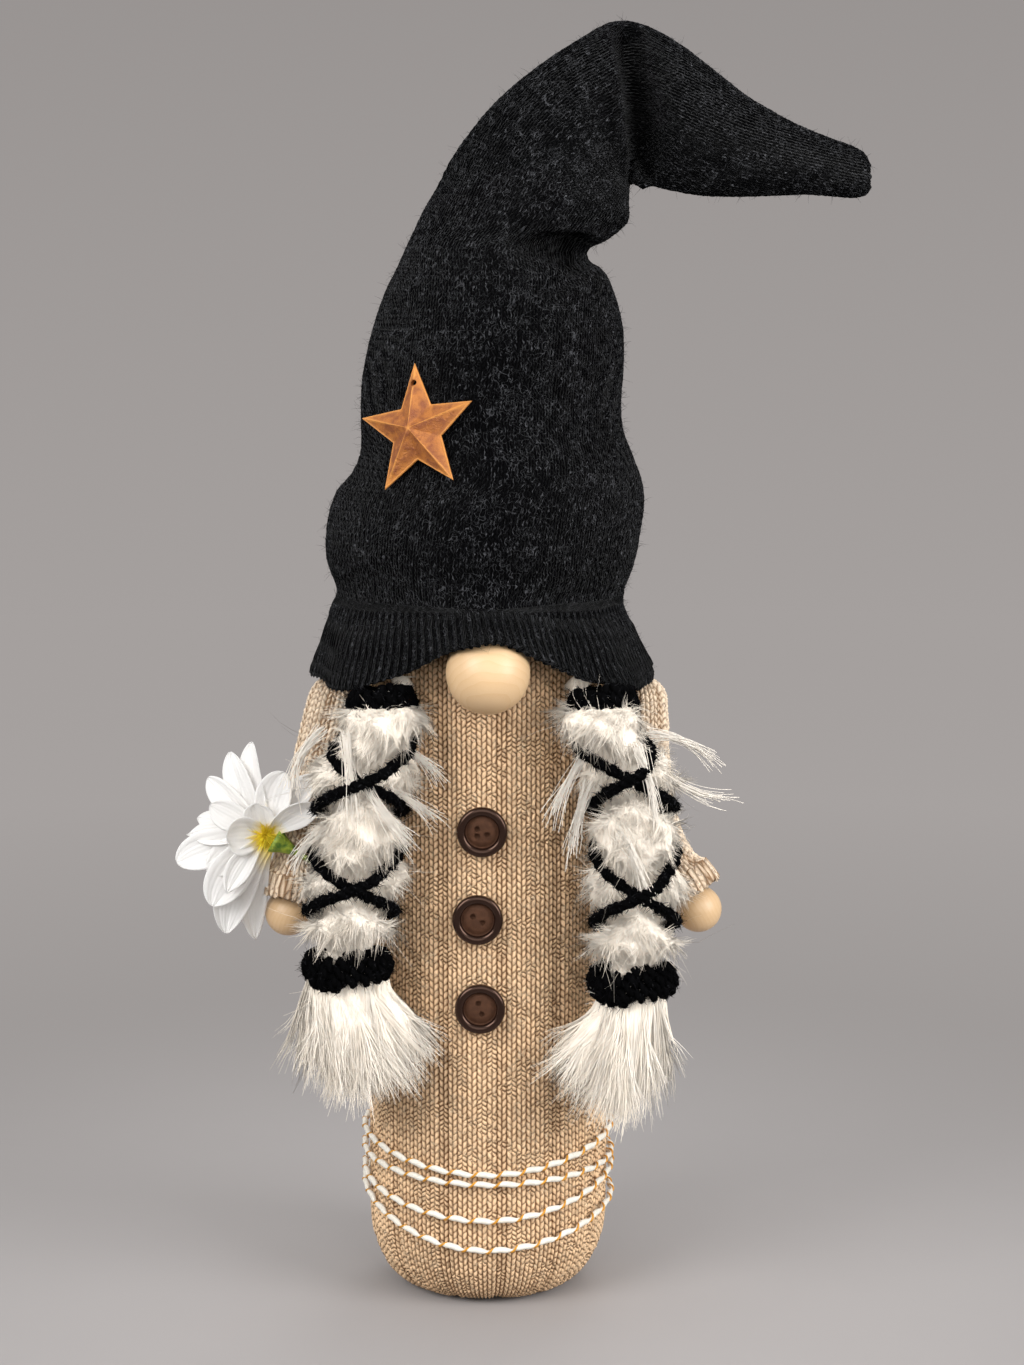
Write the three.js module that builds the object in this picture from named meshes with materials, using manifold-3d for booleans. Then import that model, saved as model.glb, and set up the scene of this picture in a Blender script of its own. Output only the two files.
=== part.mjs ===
// A standing gnome doll: a stuffed knitted body, a tall knitted hat that folds over, a wooden nose,
// two laced braids, two arms with wooden hands, and a silk flower tucked under one arm.
// Millimetres, +Z up. The doll stands on the origin and faces -Y; left and right are the viewer's.
import * as THREE from "three";
import { mergeVertices } from "three/addons/utils/BufferGeometryUtils.js";
import Module from "manifold-3d";

// General
const clearance = 0.3;
const knitThickness = 2.5;

// Body
const bodyRadius = 50;
const baseRadius = 30;
const baseRise = 32;
const bodyHeight = 262;
const shoulderRise = 26;
const neckRadius = 9;
const neckLength = 12;
const baseDiscThickness = 2;
const weightHeight = 46;
const neckThreadRadius = 1.2;

// Waist cord: the heights of its turns at the left, the front and the right
const waistCordRadius = 1.5;
const waistTurns = [
  { left: 67, front: 59.2, right: 67.7 },
  { left: 58.3, front: 55.2, right: 55.4 },
  { left: 49.5, front: 40.1, right: 50.3 },
  { left: 43.9, front: 27.8, right: 38.1 },
];

// Buttons
const buttonRadius = 10;
const buttonThickness = 3.6;
const buttonRimWidth = 3.4;
const buttonRecess = 1.3;
const buttonHoleRadius = 0.9;
const buttonHoleSpacing = 4.6;
const buttonPlaces = {
  button_top: { x: -1.8, z: 199.1, turn: -30 },
  button_middle: { x: -3.6, z: 163.8, turn: -33 },
  button_bottom: { x: -2.7, z: 127.7, turn: -72 },
};

// Hat: how far its head stands out from the body, its wall, and its brim over the nose
const hatEase = 15;
const hatThickness = 3;
const brimDrop = 5.5;
const brimLift = 18;
const brimLiftWidth = 26;
const brimFlareRise = 34;
const hatFillingRise = 46;

// Each section of the hat above its brim: rise, sideways shift, how much slimmer it is than the
// head, and how much flatter it is from front to back
const hatSections = [
  { rise: 0, shift: -1, slim: -6.2, flat: 0 },
  { rise: 14, shift: -0.6, slim: -0.8, flat: 0 },
  { rise: 27, shift: -1.2, slim: 4.4, flat: 0 },
  { rise: 34, shift: -3, slim: 5.2, flat: 0 },
  { rise: 47, shift: -2.8, slim: 1.3, flat: 0 },
  { rise: 60, shift: -1.4, slim: 0, flat: 1 },
  { rise: 73, shift: 0.7, slim: 1.3, flat: 1.7 },
  { rise: 86, shift: 3.3, slim: 6.8, flat: 1.2 },
  { rise: 100, shift: 1.9, slim: 10.8, flat: 1.2 },
  { rise: 124, shift: 2.1, slim: 11.5, flat: 2.5 },
  { rise: 144, shift: 4.6, slim: 14.9, flat: 4 },
  { rise: 157, shift: 6.6, slim: 20.6, flat: 2.4 },
  { rise: 170, shift: 4, slim: 27.3, flat: 0.7 },
  { rise: 182, shift: 13, slim: 23.5, flat: 7.5 },
  { rise: 195, shift: 17, slim: 25.4, flat: 9.6 },
  { rise: 207, shift: 21, slim: 28, flat: 11 },
  { rise: 226, shift: 28.4, slim: 35.4, flat: 8.6 },
  { rise: 244, shift: 39.5, slim: 47, flat: 2 },
];

// Hat tip: the round fold that it turns on, and the horn beyond it
const foldShift = 58;
const foldRise = 226.4;
const foldRadius = 36.3;
const foldHalfDepth = 16;
const foldEdgeRound = 9;
const tipRaise = 25;
const tipLower = 20;
const tipSections = [
  { reach: 0, drop: 0, halfHeight: 34, halfDepth: 14.5 },
  { reach: 17, drop: 4.6, halfHeight: 31.7, halfDepth: 15.5 },
  { reach: 37, drop: 12.1, halfHeight: 24.2, halfDepth: 15 },
  { reach: 56, drop: 18.6, halfHeight: 17.7, halfDepth: 13 },
  { reach: 74, drop: 22.8, halfHeight: 13.5, halfDepth: 10.5 },
  { reach: 88, drop: 25.6, halfHeight: 10.7, halfDepth: 9 },
  { reach: 95, drop: 26.4, halfHeight: 9, halfDepth: 7.5 },
  { reach: 98.4, drop: 26.4, halfHeight: 5, halfDepth: 4.5 },
];
const hatWireRadius = 1.1;

// Nose
const noseRadius = 16.2;
const noseSink = 2.5;
const noseShift = 0.7;
const noseRise = 7.5;

// Star
const starRadius = 26.5;
const starNotchRadius = 11.5;
const starRidge = 5;
const starSheet = 0.9;
const starHoleRadius = 1.3;
const starHoleReach = 18.5;
const starTurn = 3;
const starRise = 100;
const starAzimuth = -31;
const starTilt = 11;

// Arms: each path runs from the shoulder's centre to the cuff's rim, left side and right side
const shoulderRadius = 12;
const shoulderHeight = 243.3;
const sleeveThickness = 2.3;
const cuffRadius = 12.3;
const handRadius = 9.5;
const handHang = 8.4;
const armWireRadius = 0.9;
const sleeveRadii = [12, 12, 11.2, 10.6, cuffRadius];
const armPaths = {
  left: [
    [0, 0, 0],
    [-5, -1, -20],
    [-11, -4, -48],
    [-15.5, -6, -65],
    [-18, -7, -77.8],
  ],
  right: [
    [0, 0, 0],
    [1.2, -1, -26],
    [5, -3, -48],
    [11.5, -5, -63],
    [20, -7, -77.3],
  ],
};

// Braids: the top tie's centre, the sideways lean of the hair below it, and the hair's sections
const topTieHeight = 248.5;
const braidForward = 52;
const topTieRadius = 13.3;
const topTieLength = 13;
const bottomTieRadius = 17.4;
const bottomTieLength = 15;
const hairKnotRadius = 8;
const lacingRadius = 2.2;
const lacingTurns = 1.85;
const hairRootRise = 27;
const braids = {
  left: { top: -41, middle: -50.6, bottom: -55.2, tassel: -53, bottomDrop: 103.5 },
  right: { top: 45.5, middle: 58.5, bottom: 57.6, tassel: 52.5, bottomDrop: 109.5 },
};
const hairRadius = 15.4;
const hairWaistRadius = 9;
const tasselLength = 61;
const tasselHalfWidth = 28;
const tasselHalfDepth = 18;

// Flower
const stemRadius = 1.2;
const stemLength = 40;
const flowerTilt = 30;
const calyxRadius = 3.6;
const calyxLength = 8;
const petalThickness = 0.8;
const flowerCentreRadius = 2;
const petalLayers = {
  petals_outer: { petals: 5, length: 43, width: 25, open: 74, curl: 20, turn: 66 },
  petals_middle: { petals: 5, length: 39, width: 23, open: 56, curl: 26, turn: 54 },
  petals_inner: { petals: 5, length: 31, width: 19, open: 34, curl: 34, turn: 82 },
};

// Facets
const bodySides = 28;
const hatSides = 20;
const foldSides = 24;
const limbSides = 10;
const ballSides = 12;
const tubeSides = 8;
const turnSteps = 24;
const turnSides = 6;
const arcSteps = 4;

// Places that follow from the sizes above
const bodyTop = bodyHeight + shoulderRise;
const neckTop = bodyTop + neckLength;
const brimHeight = bodyHeight - brimDrop;
const headRadius = bodyRadius + hatEase;
const fold = new THREE.Vector3(foldShift, 0, brimHeight + foldRise);
const noseForward = bodyRadius + noseRadius - noseSink;
const nose = new THREE.Vector3(noseShift, -noseForward, brimHeight + noseRise);
const shoulderOut = bodyRadius + clearance + shoulderRadius;

const wasm = await Module();
wasm.setup();

const radians = THREE.MathUtils.degToRad;

// A closed surface as a solid, turned right side out.
function solidFrom(geometry) {
  const bare = geometry.index ? geometry.toNonIndexed() : geometry.clone();
  bare.deleteAttribute("normal");
  bare.deleteAttribute("uv");
  const merged = mergeVertices(bare, 1e-4);
  const points = merged.attributes.position;
  const corners = merged.index.array;
  const [a, b, c] = [new THREE.Vector3(), new THREE.Vector3(), new THREE.Vector3()];
  const faces = [];
  let volume = 0;
  for (let i = 0; i < corners.length; i += 3) {
    const [p, q, r] = [corners[i], corners[i + 1], corners[i + 2]];
    if (p === q || q === r || r === p) continue;
    faces.push([p, q, r]);
    a.fromBufferAttribute(points, p);
    b.fromBufferAttribute(points, q);
    c.fromBufferAttribute(points, r);
    volume += a.dot(b.cross(c));
  }
  const turned = volume < 0 ? faces.map(([p, q, r]) => [p, r, q]) : faces;
  const mesh = new wasm.Mesh({
    numProp: 3,
    vertProperties: Float32Array.from(points.array),
    triVerts: Uint32Array.from(turned.flat()),
  });
  return new wasm.Manifold(mesh);
}

// The surface of a solid as a three.js geometry with flat faces.
function geometryFrom(solid) {
  const mesh = solid.getMesh();
  const geometry = new THREE.BufferGeometry();
  geometry.setAttribute("position", new THREE.BufferAttribute(mesh.vertProperties, 3));
  geometry.setIndex(new THREE.BufferAttribute(mesh.triVerts, 1));
  const faceted = geometry.toNonIndexed();
  faceted.computeVertexNormals();
  return faceted;
}

// A closed surface over rings that all have the same number of points, capped at both ends.
function skin(rings) {
  const sides = rings[0].length;
  const points = rings.flat();
  const faces = [];
  for (let ring = 0; ring + 1 < rings.length; ring++) {
    for (let side = 0; side < sides; side++) {
      const here = ring * sides + side;
      const next = ring * sides + ((side + 1) % sides);
      faces.push(here, next, next + sides, here, next + sides, here + sides);
    }
  }
  const middleOf = (ring) => {
    const middle = new THREE.Vector3();
    ring.forEach((point) => middle.add(point));
    return middle.divideScalar(sides);
  };
  const first = points.length;
  points.push(middleOf(rings[0]), middleOf(rings.at(-1)));
  const lastRing = (rings.length - 1) * sides;
  for (let side = 0; side < sides; side++) {
    const next = (side + 1) % sides;
    faces.push(first, next, side);
    faces.push(first + 1, lastRing + side, lastRing + next);
  }
  const geometry = new THREE.BufferGeometry().setFromPoints(points);
  geometry.setIndex(faces);
  return solidFrom(geometry);
}

// An oval ring about a centre, in the plane of two unit directions.
function oval(centre, across, along, halfAcross, halfAlong, sides) {
  return Array.from({ length: sides }, (_, side) => {
    const angle = (2 * Math.PI * side) / sides;
    return centre
      .clone()
      .addScaledVector(across, halfAcross * Math.cos(angle))
      .addScaledVector(along, halfAlong * Math.sin(angle));
  });
}

// A solid turned about the vertical axis from its outline of [radius, height] points.
function turned(outline, sides) {
  const profile = outline.map(([radius, height]) => new THREE.Vector2(radius, height));
  return solidFrom(new THREE.LatheGeometry(profile, sides).rotateX(Math.PI / 2));
}

// Points of an arc of an ellipse, between two angles in degrees.
function arc(centreAcross, centreUp, halfAcross, halfUp, from, to, steps = arcSteps) {
  return Array.from({ length: steps + 1 }, (_, step) => {
    const angle = radians(from + ((to - from) * step) / steps);
    return [centreAcross + halfAcross * Math.cos(angle), centreUp + halfUp * Math.sin(angle)];
  });
}

// A straight or bent rod of round section through points.
function rod(points, radius, steps) {
  const section = new THREE.Shape(
    new THREE.Path().absarc(0, 0, radius, 0, 2 * Math.PI).getSpacedPoints(tubeSides).slice(0, -1),
  );
  const extrudePath = new THREE.CatmullRomCurve3(points);
  return solidFrom(new THREE.ExtrudeGeometry(section, { steps, extrudePath }));
}

// A tube that winds round an upright core: each ring stands square to the path.
function windingTube(path, radius) {
  const rings = path.map((point, step) => {
    const ahead = path[Math.min(step + 1, path.length - 1)];
    const behind = path[Math.max(step - 1, 0)];
    const tangent = ahead.clone().sub(behind).normalize();
    const side = new THREE.Vector3(0, 0, 1).cross(tangent);
    if (side.lengthSq() < 0.01) side.copy(new THREE.Vector3(0, 1, 0)).cross(tangent);
    side.normalize();
    const up = tangent.clone().cross(side);
    return oval(point, side, up, radius, radius, turnSides);
  });
  return skin(rings);
}

// The least distance between the surfaces of two winding tubes, or of one tube's turns.
function leastGap(path, other, radius, turnLength) {
  let least = Infinity;
  path.forEach((point, i) => {
    other.forEach((second, j) => {
      if (path === other && Math.abs(i - j) < turnLength / 2) return;
      least = Math.min(least, point.distanceTo(second) - 2 * radius);
    });
  });
  return least;
}

const smooth = (value) => {
  const t = Math.min(Math.max(value, 0), 1);
  return t * t * (3 - 2 * t);
};

// An upright slab that keeps what lies between two heights.
function slab(low, high) {
  const wide = 8 * headRadius;
  const box = new THREE.BoxGeometry(wide, wide, high - low);
  return solidFrom(box.translate(0, 0, (low + high) / 2));
}

function ball(centre, radius, sides = ballSides) {
  const sphere = new THREE.SphereGeometry(radius, sides, sides / 2);
  return solidFrom(sphere.translate(centre.x, centre.y, centre.z));
}

// Body: cover, filling, weight, base disc and the gathered neck

function bodyOutline(inset) {
  const side = bodyRadius - inset;
  return [
    [0, inset],
    ...arc(baseRadius, baseRise, side - baseRadius, baseRise - inset, -90, 0),
    ...arc(neckRadius, bodyHeight, side - neckRadius, shoulderRise - inset, 0, 90),
  ];
}

const bodyOuter = turned([...bodyOutline(0), [neckRadius, neckTop], [0, neckTop]], bodySides);
const neckBore = neckRadius - knitThickness;
const bodyInner = turned(
  [
    ...bodyOutline(knitThickness),
    [neckBore, bodyTop - knitThickness],
    [neckBore, neckTop + 1],
    [0, neckTop + 1],
  ],
  bodySides,
);
const bodyCover = bodyOuter.subtract(bodyInner);
const stuffing = turned(
  [...bodyOutline(knitThickness + clearance), [0, bodyTop - knitThickness - clearance]],
  bodySides,
);
const baseDiscLow = knitThickness + clearance;
const baseDiscHigh = baseDiscLow + baseDiscThickness;
const baseDisc = turned(
  [[0, baseDiscLow], [baseRadius, baseDiscLow], [baseRadius, baseDiscHigh], [0, baseDiscHigh]],
  bodySides,
);
const weightBag = stuffing.intersect(slab(baseDiscHigh + clearance, weightHeight));
const bodyFilling = stuffing.intersect(slab(weightHeight + clearance, bodyTop));
const neckThreadRing = neckRadius + clearance + neckThreadRadius;
const neckThread = turned(
  [...arc(neckThreadRing, bodyTop + neckLength / 2, neckThreadRadius, neckThreadRadius, 0, 360, turnSides)],
  bodySides,
);
const bodyRoom = turned(
  [...bodyOutline(-clearance), [neckRadius + clearance, neckTop + clearance], [0, neckTop + clearance]],
  bodySides,
);

// Waist cord: one tube that winds down round the body and dips at the front

function waistPath() {
  const ringRadius = (bodyRadius + clearance + waistCordRadius) / Math.cos(Math.PI / turnSteps);
  const marks = [];
  waistTurns.forEach((turn, i) => {
    const before = waistTurns[i - 1];
    marks.push(before ? (before.right + turn.left) / 2 : turn.left);
    marks.push(turn.left, turn.front, turn.right);
  });
  marks.push(waistTurns.at(-1).right);
  const heights = new THREE.CatmullRomCurve3(marks.map((height, i) => new THREE.Vector3(i, 0, height)));
  const steps = turnSteps * waistTurns.length;
  const path = Array.from({ length: steps + 1 }, (_, step) => {
    const angle = Math.PI + (2 * Math.PI * step) / turnSteps;
    const height = heights.getPoint(step / steps).z;
    return new THREE.Vector3(-ringRadius * Math.sin(-angle), -ringRadius * Math.cos(angle), height);
  });
  const tail = 2 * waistCordRadius;
  const lead = path[0].clone().sub(path[1]).setLength(tail).add(path[0]);
  const last = path.at(-1);
  const end = last.clone().sub(path.at(-2)).setLength(tail).add(last);
  return [lead, ...path, end];
}

const waistRoute = waistPath();
const waistCord = windingTube(waistRoute, waistCordRadius);

// Buttons: a raised rim round a shallow dish with two thread holes

function button({ x, z, turn }) {
  const dish = buttonThickness - buttonRecess;
  const rimMiddle = buttonRadius - buttonRimWidth / 2;
  const half = buttonRimWidth / 2;
  const outline = [
    [0, 0],
    [buttonRadius - 1.5, 0],
    [buttonRadius, dish / 2],
    ...arc(rimMiddle, dish, half, buttonRecess, 0, 180),
    [0, dish],
  ];
  const holeAt = (side) => {
    const through = 3 * buttonThickness;
    const hole = new THREE.CylinderGeometry(buttonHoleRadius, buttonHoleRadius, through, tubeSides);
    hole.rotateX(Math.PI / 2).translate((side * buttonHoleSpacing) / 2, 0, 0);
    return solidFrom(hole);
  };
  const solid = turned(outline, turnSteps).subtract(holeAt(-1)).subtract(holeAt(1));
  const geometry = geometryFrom(solid);
  geometry.rotateZ(radians(turn)).rotateX(Math.PI / 2);
  return geometry.translate(x, -bodyRadius - clearance, z);
}

// Hat: the crown's shell, its filling, and the folded tip that turns in a round seat

function hatRing(section, inset) {
  const halfWidth = headRadius - section.slim - inset;
  const halfDepth = halfWidth - section.flat;
  const flare = Math.max(0, 1 - section.rise / brimFlareRise);
  const noseReach = noseForward + noseRadius + clearance + hatThickness;
  const brimRadius = headRadius - hatSections[0].slim;
  return Array.from({ length: hatSides }, (_, side) => {
    const angle = (2 * Math.PI * side) / hatSides;
    const fromFront = Math.min(angle, 2 * Math.PI - angle) / radians(brimLiftWidth);
    const overNose = Math.exp(-fromFront * fromFront) * flare;
    const push = Math.max(0, noseReach - brimRadius) * overNose;
    return new THREE.Vector3(
      section.shift + halfWidth * Math.sin(angle),
      -(halfDepth + push) * Math.cos(angle),
      brimHeight + section.rise + brimLift * overNose,
    );
  });
}

// The round fold grown by some room, turned about the fold's own axis.
function foldDisc(room) {
  const radius = room > 0 ? (foldRadius + room) / Math.cos(Math.PI / foldSides) : foldRadius + room;
  const half = foldHalfDepth + room;
  const round = Math.min(foldEdgeRound, half);
  const outline = [
    [0, -half],
    ...arc(radius - round, -half + round, round, round, -90, 0, 2),
    ...arc(radius - round, half - round, round, round, 0, 90, 2),
    [0, half],
  ];
  const profile = outline.map(([across, deep]) => new THREE.Vector2(across, deep));
  const disc = new THREE.LatheGeometry(profile, foldSides);
  return solidFrom(disc.translate(fold.x, fold.y, fold.z));
}

function tipHorn(room) {
  const deep = new THREE.Vector3(0, 1, 0);
  const up = new THREE.Vector3(0, 0, 1);
  const rings = tipSections.map((section, i) => {
    const end = i === tipSections.length - 1 ? room : 0;
    const centre = new THREE.Vector3(section.reach + end, 0, -section.drop).add(fold);
    return oval(centre, deep, up, section.halfDepth + room, section.halfHeight + room, limbSides);
  });
  return skin(rings);
}

// The tip's solid turned about the fold by some degrees, positive downwards.
function turnedTip(tip, degrees) {
  const geometry = geometryFrom(tip).translate(-fold.x, -fold.y, -fold.z);
  return solidFrom(geometry.rotateY(radians(degrees)).translate(fold.x, fold.y, fold.z));
}

const tipFull = foldDisc(0).add(tipHorn(0));
const tipRoom = foldDisc(clearance).add(tipHorn(clearance));
const tipHollow = foldDisc(-hatThickness).add(tipHorn(-hatThickness));
const tipStuffing = foldDisc(-hatThickness - clearance).add(tipHorn(-hatThickness - clearance));
const tipWirePath = [
  new THREE.Vector3(-foldRadius + clearance, 0, 0),
  new THREE.Vector3(0, 0, 0),
  ...tipSections.slice(2, -1).map(({ reach, drop }) => new THREE.Vector3(reach, 0, -drop)),
].map((point) => point.add(fold));
const tipWireSteps = 10;
const tipWire = rod(tipWirePath.slice(0, -1), hatWireRadius, tipWireSteps);
const tipWireRoom = rod(
  [tipWirePath[0].clone().setX(fold.x - foldRadius - 1), ...tipWirePath.slice(1)],
  hatWireRadius + clearance,
  tipWireSteps,
);
const hatTip = tipFull.subtract(tipHollow).subtract(tipWireRoom);
const hatTipFilling = tipStuffing.subtract(tipWireRoom);

// The hat's section at any rise, worked out between the listed sections below and above it
function hatSectionAt(rise) {
  const above = hatSections.findIndex((section, i) => i > 0 && section.rise >= rise);
  const high = hatSections.at(above);
  const low = hatSections.at(above - 1);
  const share = (rise - low.rise) / (high.rise - low.rise);
  const between = (name) => low[name] + share * (high[name] - low[name]);
  return { rise, shift: between("shift"), slim: between("slim"), flat: between("flat") };
}

const crownOuter = skin(hatSections.map((section) => hatRing(section, 0)));
const belowBrim = { ...hatSections[0], rise: -hatThickness };
const hollowSections = [belowBrim, ...hatSections.slice(0, -2)];
const seatWall = foldDisc(clearance + hatThickness);
const crownHollow = skin(hollowSections.map((section) => hatRing(section, hatThickness)))
  .subtract(seatWall);
const hatWirePath = [
  new THREE.Vector3(0, 0, brimHeight + hatFillingRise + clearance),
  new THREE.Vector3(0, 0, brimHeight + 120),
  new THREE.Vector3(4, 0, brimHeight + 180),
  new THREE.Vector3(8, 0, fold.z - 14),
  new THREE.Vector3(fold.x - foldRadius - clearance - hatThickness - 3, 0, fold.z),
  new THREE.Vector3(fold.x - foldRadius - 2 * clearance, 0, fold.z),
];
const hatWireSteps = 14;
const hatWire = rod(hatWirePath, hatWireRadius, hatWireSteps);
const hatWireExit = [hatWirePath.at(-2), new THREE.Vector3(fold.x - foldRadius + 1, 0, fold.z)];
const hatWireRoom = rod(hatWirePath, hatWireRadius + clearance, hatWireSteps)
  .add(rod(hatWireExit, hatWireRadius + 2 * clearance, 1));
let hatCrown = crownOuter
  .subtract(crownHollow)
  .subtract(tipRoom)
  .subtract(hatWireRoom)
  .subtract(ball(nose, noseRadius + clearance));
for (const degrees of [tipLower / 2, tipLower]) {
  hatCrown = hatCrown.subtract(turnedTip(tipRoom, degrees));
}
const fillingSections = hollowSections.slice(1);
const hatFilling = skin(fillingSections.map((section) => hatRing(section, hatThickness + clearance)))
  .subtract(foldDisc(2 * clearance + hatThickness))
  .subtract(hatWireRoom)
  .intersect(slab(brimHeight + hatFillingRise, neckTop + 2 * foldRise))
  .subtract(bodyRoom);

// Nose: a ball with its back seated on the body
const noseBall = ball(nose, noseRadius).subtract(bodyRoom);

// Star: five pressed points with a ridge down each, hollow behind, and a hole in the top point

function starPyramid(scale, lift) {
  const outline = Array.from({ length: 10 }, (_, i) => {
    const angle = Math.PI / 2 + (i * Math.PI) / 5;
    const reach = (i % 2 ? starNotchRadius : starRadius) * scale;
    return new THREE.Vector3(reach * Math.cos(angle), reach * Math.sin(angle), 0);
  });
  const low = new THREE.Vector3(0, 0, lift - starRidge);
  const raised = outline.map((point) => point.clone().setZ(lift));
  const base = outline.map((point) => point.clone().setZ(low.z));
  const points = [...base, ...raised, low, new THREE.Vector3(0, 0, lift + starRidge * scale)];
  const faces = [];
  for (let i = 0; i < 10; i++) {
    const next = (i + 1) % 10;
    faces.push(i, next, next + 10, i, next + 10, i + 10);
    faces.push(20, next, i);
    faces.push(21, i + 10, next + 10);
  }
  const geometry = new THREE.BufferGeometry().setFromPoints(points);
  geometry.setIndex(faces);
  return solidFrom(geometry);
}

const starBack = 8 * starRadius;
const starFront = new THREE.BoxGeometry(starBack, starBack, starBack).translate(0, 0, starBack / 2);
const starHole = new THREE.CylinderGeometry(starHoleRadius, starHoleRadius, starBack, tubeSides);
starHole.rotateX(Math.PI / 2).translate(0, starHoleReach, 0);
const starHollowScale = 1 - (2.5 * starSheet) / starRadius;
const star = starPyramid(1, starSheet)
  .intersect(solidFrom(starFront))
  .subtract(starPyramid(starHollowScale, 0))
  .subtract(solidFrom(starHole));

const starSeat = hatSectionAt(starRise);
const starOut = headRadius - starSeat.slim + starSheet;
const starPlace = new THREE.Matrix4()
  .makeTranslation(
    starSeat.shift + starOut * Math.sin(radians(starAzimuth)),
    -starOut * Math.cos(radians(starAzimuth)),
    brimHeight + starSeat.rise,
  )
  .multiply(new THREE.Matrix4().makeRotationZ(radians(starAzimuth)))
  .multiply(new THREE.Matrix4().makeRotationX(Math.PI / 2 - radians(starTilt)))
  .multiply(new THREE.Matrix4().makeRotationZ(radians(-starTurn)));
const starGeometry = geometryFrom(star).applyMatrix4(starPlace);
const starRoom = geometryFrom(starPyramid(1, starSheet).intersect(solidFrom(starFront)))
  .translate(0, 0, -clearance)
  .applyMatrix4(starPlace);
hatCrown = hatCrown.subtract(solidFrom(starRoom));

// Arms: a sleeve closed at the shoulder and open at the cuff, its filling, a wire and a wooden hand

function armParts(sideName) {
  const side = sideName === "left" ? -1 : 1;
  const shoulder = new THREE.Vector3(side * shoulderOut, 0, shoulderHeight);
  const path = armPaths[sideName].map(([x, y, z]) => new THREE.Vector3(x, y, z).add(shoulder));
  const curve = new THREE.CatmullRomCurve3(path);
  const radii = new THREE.CatmullRomCurve3(sleeveRadii.map((radius, i) => new THREE.Vector3(i, radius, 0)));
  const rimDirection = curve.getTangent(1);
  const deep = new THREE.Vector3(0, 1, 0);
  const tube = (inset, beyond) => {
    const rings = [];
    const grow = (centre, tangent, radius) => {
      const across = deep.clone().cross(tangent).normalize();
      rings.push(oval(centre, across, tangent.clone().cross(across), radius, radius, limbSides));
    };
    const start = curve.getTangent(0);
    const capRadius = shoulderRadius - inset;
    for (const angle of [80, 55, 30]) {
      const back = -capRadius * Math.sin(radians(angle));
      grow(path[0].clone().addScaledVector(start, back), start, capRadius * Math.cos(radians(angle)));
    }
    const steps = 6;
    for (let step = 0; step <= steps; step++) {
      const t = step / steps;
      grow(curve.getPoint(t), curve.getTangent(t), radii.getPoint(t).y - inset);
    }
    if (beyond > 0) {
      grow(curve.getPoint(1).addScaledVector(rimDirection, beyond), rimDirection, cuffRadius - inset);
    }
    return skin(rings);
  };
  const rim = curve.getPoint(1);
  const hand = rim.clone().addScaledVector(rimDirection, handHang);
  const wireEnd = hand.clone().addScaledVector(rimDirection, handRadius / 3);
  const wirePath = [...path.slice(0, -1), rim, wireEnd];
  const wireSteps = 10;
  const wire = rod(wirePath, armWireRadius, wireSteps);
  const wireRoom = rod(
    [...wirePath.slice(0, -1), wireEnd.clone().addScaledVector(rimDirection, clearance)],
    armWireRadius + clearance,
    wireSteps,
  );
  const handRoom = ball(hand, handRadius + clearance);
  return {
    sleeve: tube(0, 0).subtract(tube(sleeveThickness, 1)).subtract(handRoom),
    filling: tube(sleeveThickness + clearance, 0).subtract(handRoom).subtract(wireRoom),
    wire,
    hand: ball(hand, handRadius).subtract(wireRoom),
    curve,
    shoulder,
  };
}

// Braids: hair with a tassel below, tied at both ends and laced with two crossing cords

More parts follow.
